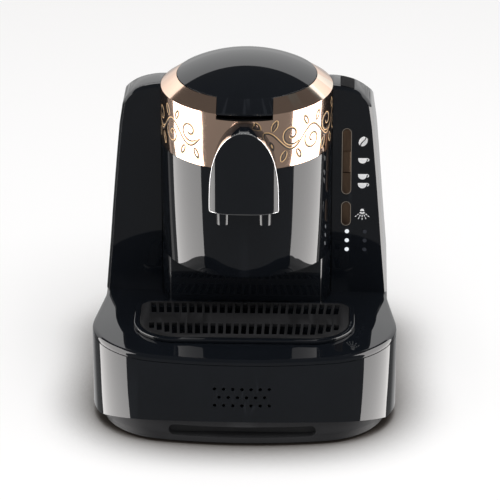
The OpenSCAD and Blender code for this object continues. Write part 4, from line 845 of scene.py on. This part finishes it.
def stroke(line, width):
    """Outline round a line of even width."""
    left, right = [], []
    for i, (u, v) in enumerate(line):
        n = normal_at(line, i)
        left.append((u + n[0] * width / 2, v + n[1] * width / 2))
        right.append((u - n[0] * width / 2, v - n[1] * width / 2))
    return left + right[::-1]


def bean_sign():
    """A leaning coffee bean, parted by its curved groove."""
    c, s = math.cos(BEAN_LEAN), math.sin(BEAN_LEAN)
    halves = []
    for side in (1, -1):
        groove = [(side * 0.5 + 0.6 * math.sin(v * 0.55), v) for v in (5 - i * 10 / 16 for i in range(17))]
        half = groove + arc(side * 0.5, 0, 3.4, 5.0, 90 - 180 * side, 90)
        halves.append(plate([(u * c - v * s, u * s + v * c) for u, v in half], SIGN_X, BEAN_Z, BEAN_SIZE))
    return halves


def cup_sign(z):
    """A small cup from the side, with its handle."""
    bowl = [(-4.0, 2.4)] + arc(0, 1.0, 3.9, 3.9, 180, 360) + [(4.0, 2.4)]
    handle = stroke(arc(4.0, 0.7, 1.7, 1.3, -75, 90), 0.9)
    return [plate(outline, CUP_X, z, CUP_SIZE) for outline in (bowl, handle)]


def spray_sign():
    """A nozzle, and a fan of drops under it."""
    nozzle_low = 3.4
    parts = [plate([(-1.0, 5.4), (1.0, 5.4), (2.0, nozzle_low), (-2.0, nozzle_low)], SIGN_X, SPRAY_Z)]
    for a in DROP_ANGLES:
        c, s = math.cos(math.radians(a)), math.sin(math.radians(a))
        for r in DROP_STARTS:
            drop = [(reach * c, nozzle_low + reach * s) for reach in (r, r + DROP_LONG)]
            parts.append(plate(stroke(drop, DROP_WIDE), SIGN_X, SPRAY_Z))
    return parts


def signs():
    """Bean, one cup, two cups and a spray of rinsing water."""
    cups = [part for z in CUP_HEIGHTS for part in cup_sign(z)]
    settle(join("button_signs", *bean_sign(), *cups, *spray_sign()), "machine", "print_white")


def button_rims():
    """Thin bright rims round the strip of three buttons and round the single one."""
    rims = []
    for low, high in (("two_cup_button", "start_button"), ("rinse_button", "rinse_button")):
        (x0, _, z0), (x1, _, z1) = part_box(low)[0] / MM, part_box(high)[1] / MM
        cx, half = (x0 + x1) / 2, (x1 - x0) / 2 - FLANGE
        loops = [arc(cx, z1 - half, r, r, 0, 180) + arc(cx, z0 + half, r, r, 180, 360)
                 for r in (half + RIM_IN, half + RIM_OUT)]
        points = [(x, y, z) for y in (PANEL_Y + RIM_BEHIND, PANEL_Y - RIM_BEFORE)
                  for loop in loops for x, z in loop]
        n = len(loops[0])
        faces = [q for a, b in ((0, 1), (1, 3), (3, 2), (2, 0)) for q in band(a * n, b * n, n)]
        rims.append(outward(mesh_from("rim", points, faces), 0.0001))
    settle(join("button_rims", *rims), "machine", "copper_tone")


# ---- housing, tray, tank and buttons -----------------------------------------------------------

# the roof of the wings: its height in front, and where and how steeply it falls to the rear
ROOF_Z, ROOF_Y, ROOF_FALL = 277, 31, 0.427
# the crown: where it starts, how much it has dropped after its run, and how far below the roof it fades out
CROWN_X, CROWN_RUN, CROWN_DROP, CROWN_DEPTH = 72, 31, 8.5, 37
# the outer sides: which part is drawn in, by how much above the deck, and by how much more towards the roof
SIDE_X, SIDE_RUN = 92, 16
DRAW_Z, DRAW_RUN, DRAW_IN = 85, 45, 0.6
LEAN_Z, LEAN_RUN, LEAN_IN = 130, 126, 1.7
# where the faces are cut so that they can bend
CUTS_X, CUTS_Y = range(72, 110, 4), (50, 75, 93, 110, 122)
CUTS_Z = (100, 130, 160, 190, 203, 215, 226, 240, 247, 254, 260, 265, 270)
# after the cuts, points closer than the first are merged and edges shorter than the second dissolved
CLOSE, SLIVER = 0.05, 0.02
# the key is bent above this height only, so that its foot still meets the switch
KEY_FOOT_Z = 272

CROWNED = ("tower_shell", "left_panel", "control_panel", "power_key")
# each solid that is copied with rounded edges: its body and the width of the rounding
ROUNDED = {
    "base_shell": ("machine", 0.5), "drip_tray": ("tray", 0.8), "drip_grille": ("grille", 0.35),
    "left_panel": ("machine", 0.5), "control_panel": ("machine", 0.3), "bay_panel": ("machine", 0.3),
    "tower_shell": ("machine", 0.5), "drum_shell": ("machine", 0.4), "base_pan": ("machine", 0.5),
    "power_key": ("power_key", 0.5), "spouts": ("machine", 0.4), "spout_block": ("machine", 0.4),
    "tank_lid": ("tank_lid", 0.3), "water_tank": ("tank", 0.3), "start_button": ("start_button", 0.45),
    "one_cup_button": ("one_cup_button", 0.45), "two_cup_button": ("two_cup_button", 0.45),
    "rinse_button": ("rinse_button", 0.45),
}


def crown(obj):
    """Lets the shoulders of both wings fall off in a crown, and draws their outer sides in a little."""
    edit(obj)
    cuts = [(side * x, 0, 0) for side in (-1, 1) for x in CUTS_X]
    cuts += [(0, 0, z) for z in CUTS_Z] + [(0, y, 0) for y in CUTS_Y]
    for cut in cuts:
        bpy.ops.mesh.select_all(action="SELECT")
        bpy.ops.mesh.bisect(plane_co=mm(*cut), plane_no=[1 if c else 0 for c in cut])
    bpy.ops.mesh.select_all(action="SELECT")
    bpy.ops.mesh.remove_doubles(threshold=CLOSE * MM)
    bpy.ops.mesh.dissolve_degenerate(threshold=SLIVER * MM)
    done(obj)
    for v in obj.data.vertices:
        x, y, z = v.co / MM
        if obj.name.startswith("power_key") and z < KEY_FOOT_Z:
            continue
        roof = ROOF_Z - ROOF_FALL * max(0, y - ROOF_Y)
        drawn = DRAW_IN * share(z, DRAW_Z, DRAW_RUN) + LEAN_IN * (max(0, z - LEAN_Z) / LEAN_RUN) ** 2
        drop = CROWN_DROP * (max(0, abs(x) - CROWN_X) / CROWN_RUN) ** 2
        v.co.x -= math.copysign(drawn * share(abs(x), SIDE_X, SIDE_RUN), x) * MM
        v.co.z -= drop * share(z, roof - CROWN_DEPTH, CROWN_DEPTH) * MM


def rounded_copy(node, body, width):
    """A merged copy of a solid whose sharp edges are rounded, and whose shoulders are crowned."""
    only(NODES[node])
    bpy.ops.object.duplicate()
    obj = bpy.context.active_object
    obj.name = obj.data.name = node + "_dressed"
    obj.parent = None
    for key in list(obj.keys()):
        del obj[key]
    edit(obj)
    bpy.ops.mesh.remove_doubles(threshold=0.002 * MM)
    bpy.ops.mesh.dissolve_limited(angle_limit=math.radians(0.4), delimit={"NORMAL"})
    done(obj)
    if node in CROWNED:
        crown(obj)
    soften(obj, width, smooth=35)
    if node in CROWNED:
        add(obj, "WEIGHTED_NORMAL", keep_sharp=True)
    settle(obj, body, FINISH_OF[node], node)


# ---- stage -------------------------------------------------------------------------------------

# the lit cards on both sides: height of their middle, how tall they are, their colour and strength
CARD_Z, CARD_TALL, CARD_COLOUR, CARD_STRENGTH = 0.05, 1.3, (1, 0.975, 0.96), 5.4


def stage_material(name):
    m = bpy.data.materials.new(name)
    m.use_nodes = True
    m.node_tree.nodes.clear()
    return m, m.node_tree


def floor():
    """Pale ground with a painted contact shadow that darkens it close to the object, and that the camera
    sees a little brighter.
    """
    bpy.ops.mesh.primitive_plane_add(size=14, location=(0, 2, 0))
    obj = done(start("floor"))
    m, tree = stage_material("pale_floor")
    out, both, ground, glow, rays, near = (tree.nodes.new("ShaderNode" + kind) for kind in (
        "OutputMaterial", "AddShader", "BsdfDiffuse", "Emission", "LightPath", "AmbientOcclusion"))
    near.samples = 12
    near.inputs["Distance"].default_value = 0.062
    # painted contact shadow: where the object hems the ground in, its colour goes to a dark warm one and its
    # glow dims
    unshadowed = ramp(tree, near.outputs["AO"], 0.40, 0.95)
    shade = blend(tree, unshadowed, (0.10, 0.085, 0.075), (0.86, 0.865, 0.875))
    lift = reckon(tree, "MULTIPLY", rays.outputs["Is Camera Ray"], 0.16)
    glow.inputs["Color"].default_value = (1, 0.93, 0.86, 1)
    tree.links.new(shade, ground.inputs["Color"])
    tree.links.new(reckon(tree, "MULTIPLY", lift, unshadowed), glow.inputs["Strength"])
    tree.links.new(ground.outputs[0], both.inputs[0])
    tree.links.new(glow.outputs[0], both.inputs[1])
    tree.links.new(both.outputs[0], out.inputs["Surface"])
    obj.data.materials.append(m)
    obj.visible_glossy = False


def softbox(name, x, y, length):
    """A lit card upright beside the object, which only shows in reflections."""
    bpy.ops.mesh.primitive_plane_add(size=1, location=(x, y, CARD_Z), rotation=(0, math.radians(90), 0))
    bpy.context.active_object.scale = (CARD_TALL, length, 1)
    obj = done(start(name))
    m, tree = stage_material(name)
    out, glow = tree.nodes.new("ShaderNodeOutputMaterial"), tree.nodes.new("ShaderNodeEmission")
    glow.inputs["Color"].default_value = (*CARD_COLOUR, 1)
    glow.inputs["Strength"].default_value = CARD_STRENGTH
    tree.links.new(glow.outputs[0], out.inputs["Surface"])
    obj.data.materials.append(m)
    obj.visible_camera = obj.visible_shadow = obj.visible_diffuse = False


def top_lamp():
    """A soft lamp high over the front, which doesn't show in reflections."""
    data = bpy.data.lights.new("top_lamp", "AREA")
    data.shape = "RECTANGLE"
    data.size = data.size_y = 1.6
    data.energy = 22
    obj = bpy.data.objects.new("top_lamp", data)
    bpy.context.scene.collection.objects.link(obj)
    place, aim = Vector((0.2, -0.5, 2.0)), Vector((0, 0, 0.1))
    obj.location = place
    obj.rotation_euler = (place - aim).to_track_quat("Z", "Y").to_euler()
    obj.visible_glossy = obj.visible_camera = False


def world():
    """A plain pale surround; what glossy faces mirror is a lit wall over pale ground, in a dim room."""
    w = bpy.data.worlds.new("studio")
    bpy.context.scene.world = w
    w.use_nodes = True
    tree = w.node_tree
    tree.nodes.clear()
    out, light = tree.nodes.new("ShaderNodeOutputWorld"), tree.nodes.new("ShaderNodeBackground")
    rays, way, axes = (tree.nodes.new("ShaderNode" + kind)
                       for kind in ("LightPath", "TexCoord", "SeparateXYZ"))
    tree.links.new(way.outputs["Generated"], axes.inputs[0])
    y, z = axes.outputs["Y"], axes.outputs["Z"]

    # the wall stands behind the object, up to 40 degrees, and gets brighter with its height
    below = ramp(tree, reckon(tree, "SUBTRACT", reckon(tree, "MULTIPLY", y, 0.84), z), 0, 0.012)
    above = ramp(tree, z, -0.10, 0.02)
    behind = ramp(tree, y, 0.02, 0.10)
    wall = reckon(tree, "MULTIPLY", reckon(tree, "MULTIPLY", below, above), behind)
    wall = reckon(tree, "MULTIPLY", wall, ramp(tree, z, 0.1, 0.64, 0.85, 1.9))
    ground = reckon(tree, "MULTIPLY", ramp(tree, z, 0.0, -0.06, 0, 0.42), ramp(tree, y, 0.70, 0.80))
    room = ramp(tree, z, 0.1, 0.6, 0.26, 0.11)
    mirrored = reckon(tree, "ADD", reckon(tree, "ADD", wall, ground), room)
    mirrored = reckon(tree, "MULTIPLY", mirrored, rays.outputs["Is Glossy Ray"])
    seen = reckon(tree, "MAXIMUM", rays.outputs["Is Camera Ray"], rays.outputs["Is Transmission Ray"])
    plain = reckon(tree, "ADD", reckon(tree, "MULTIPLY", rays.outputs["Is Diffuse Ray"], 0.80), seen)
    tree.links.new(reckon(tree, "ADD", plain, mirrored), light.inputs["Strength"])
    tree.links.new(light.outputs[0], out.inputs["Surface"])


# ---- the whole ---------------------------------------------------------------------------------

collar()
ornament()
lid()
pod()
pod_bar()
base_cover()
signs()
button_rims()
for node, (body, width) in ROUNDED.items():
    rounded_copy(node, body, width)
floor()
softbox("left_softbox", -0.522, -0.085, 0.487)
softbox("right_softbox", 0.522, -0.03, 0.49)
top_lamp()
world()
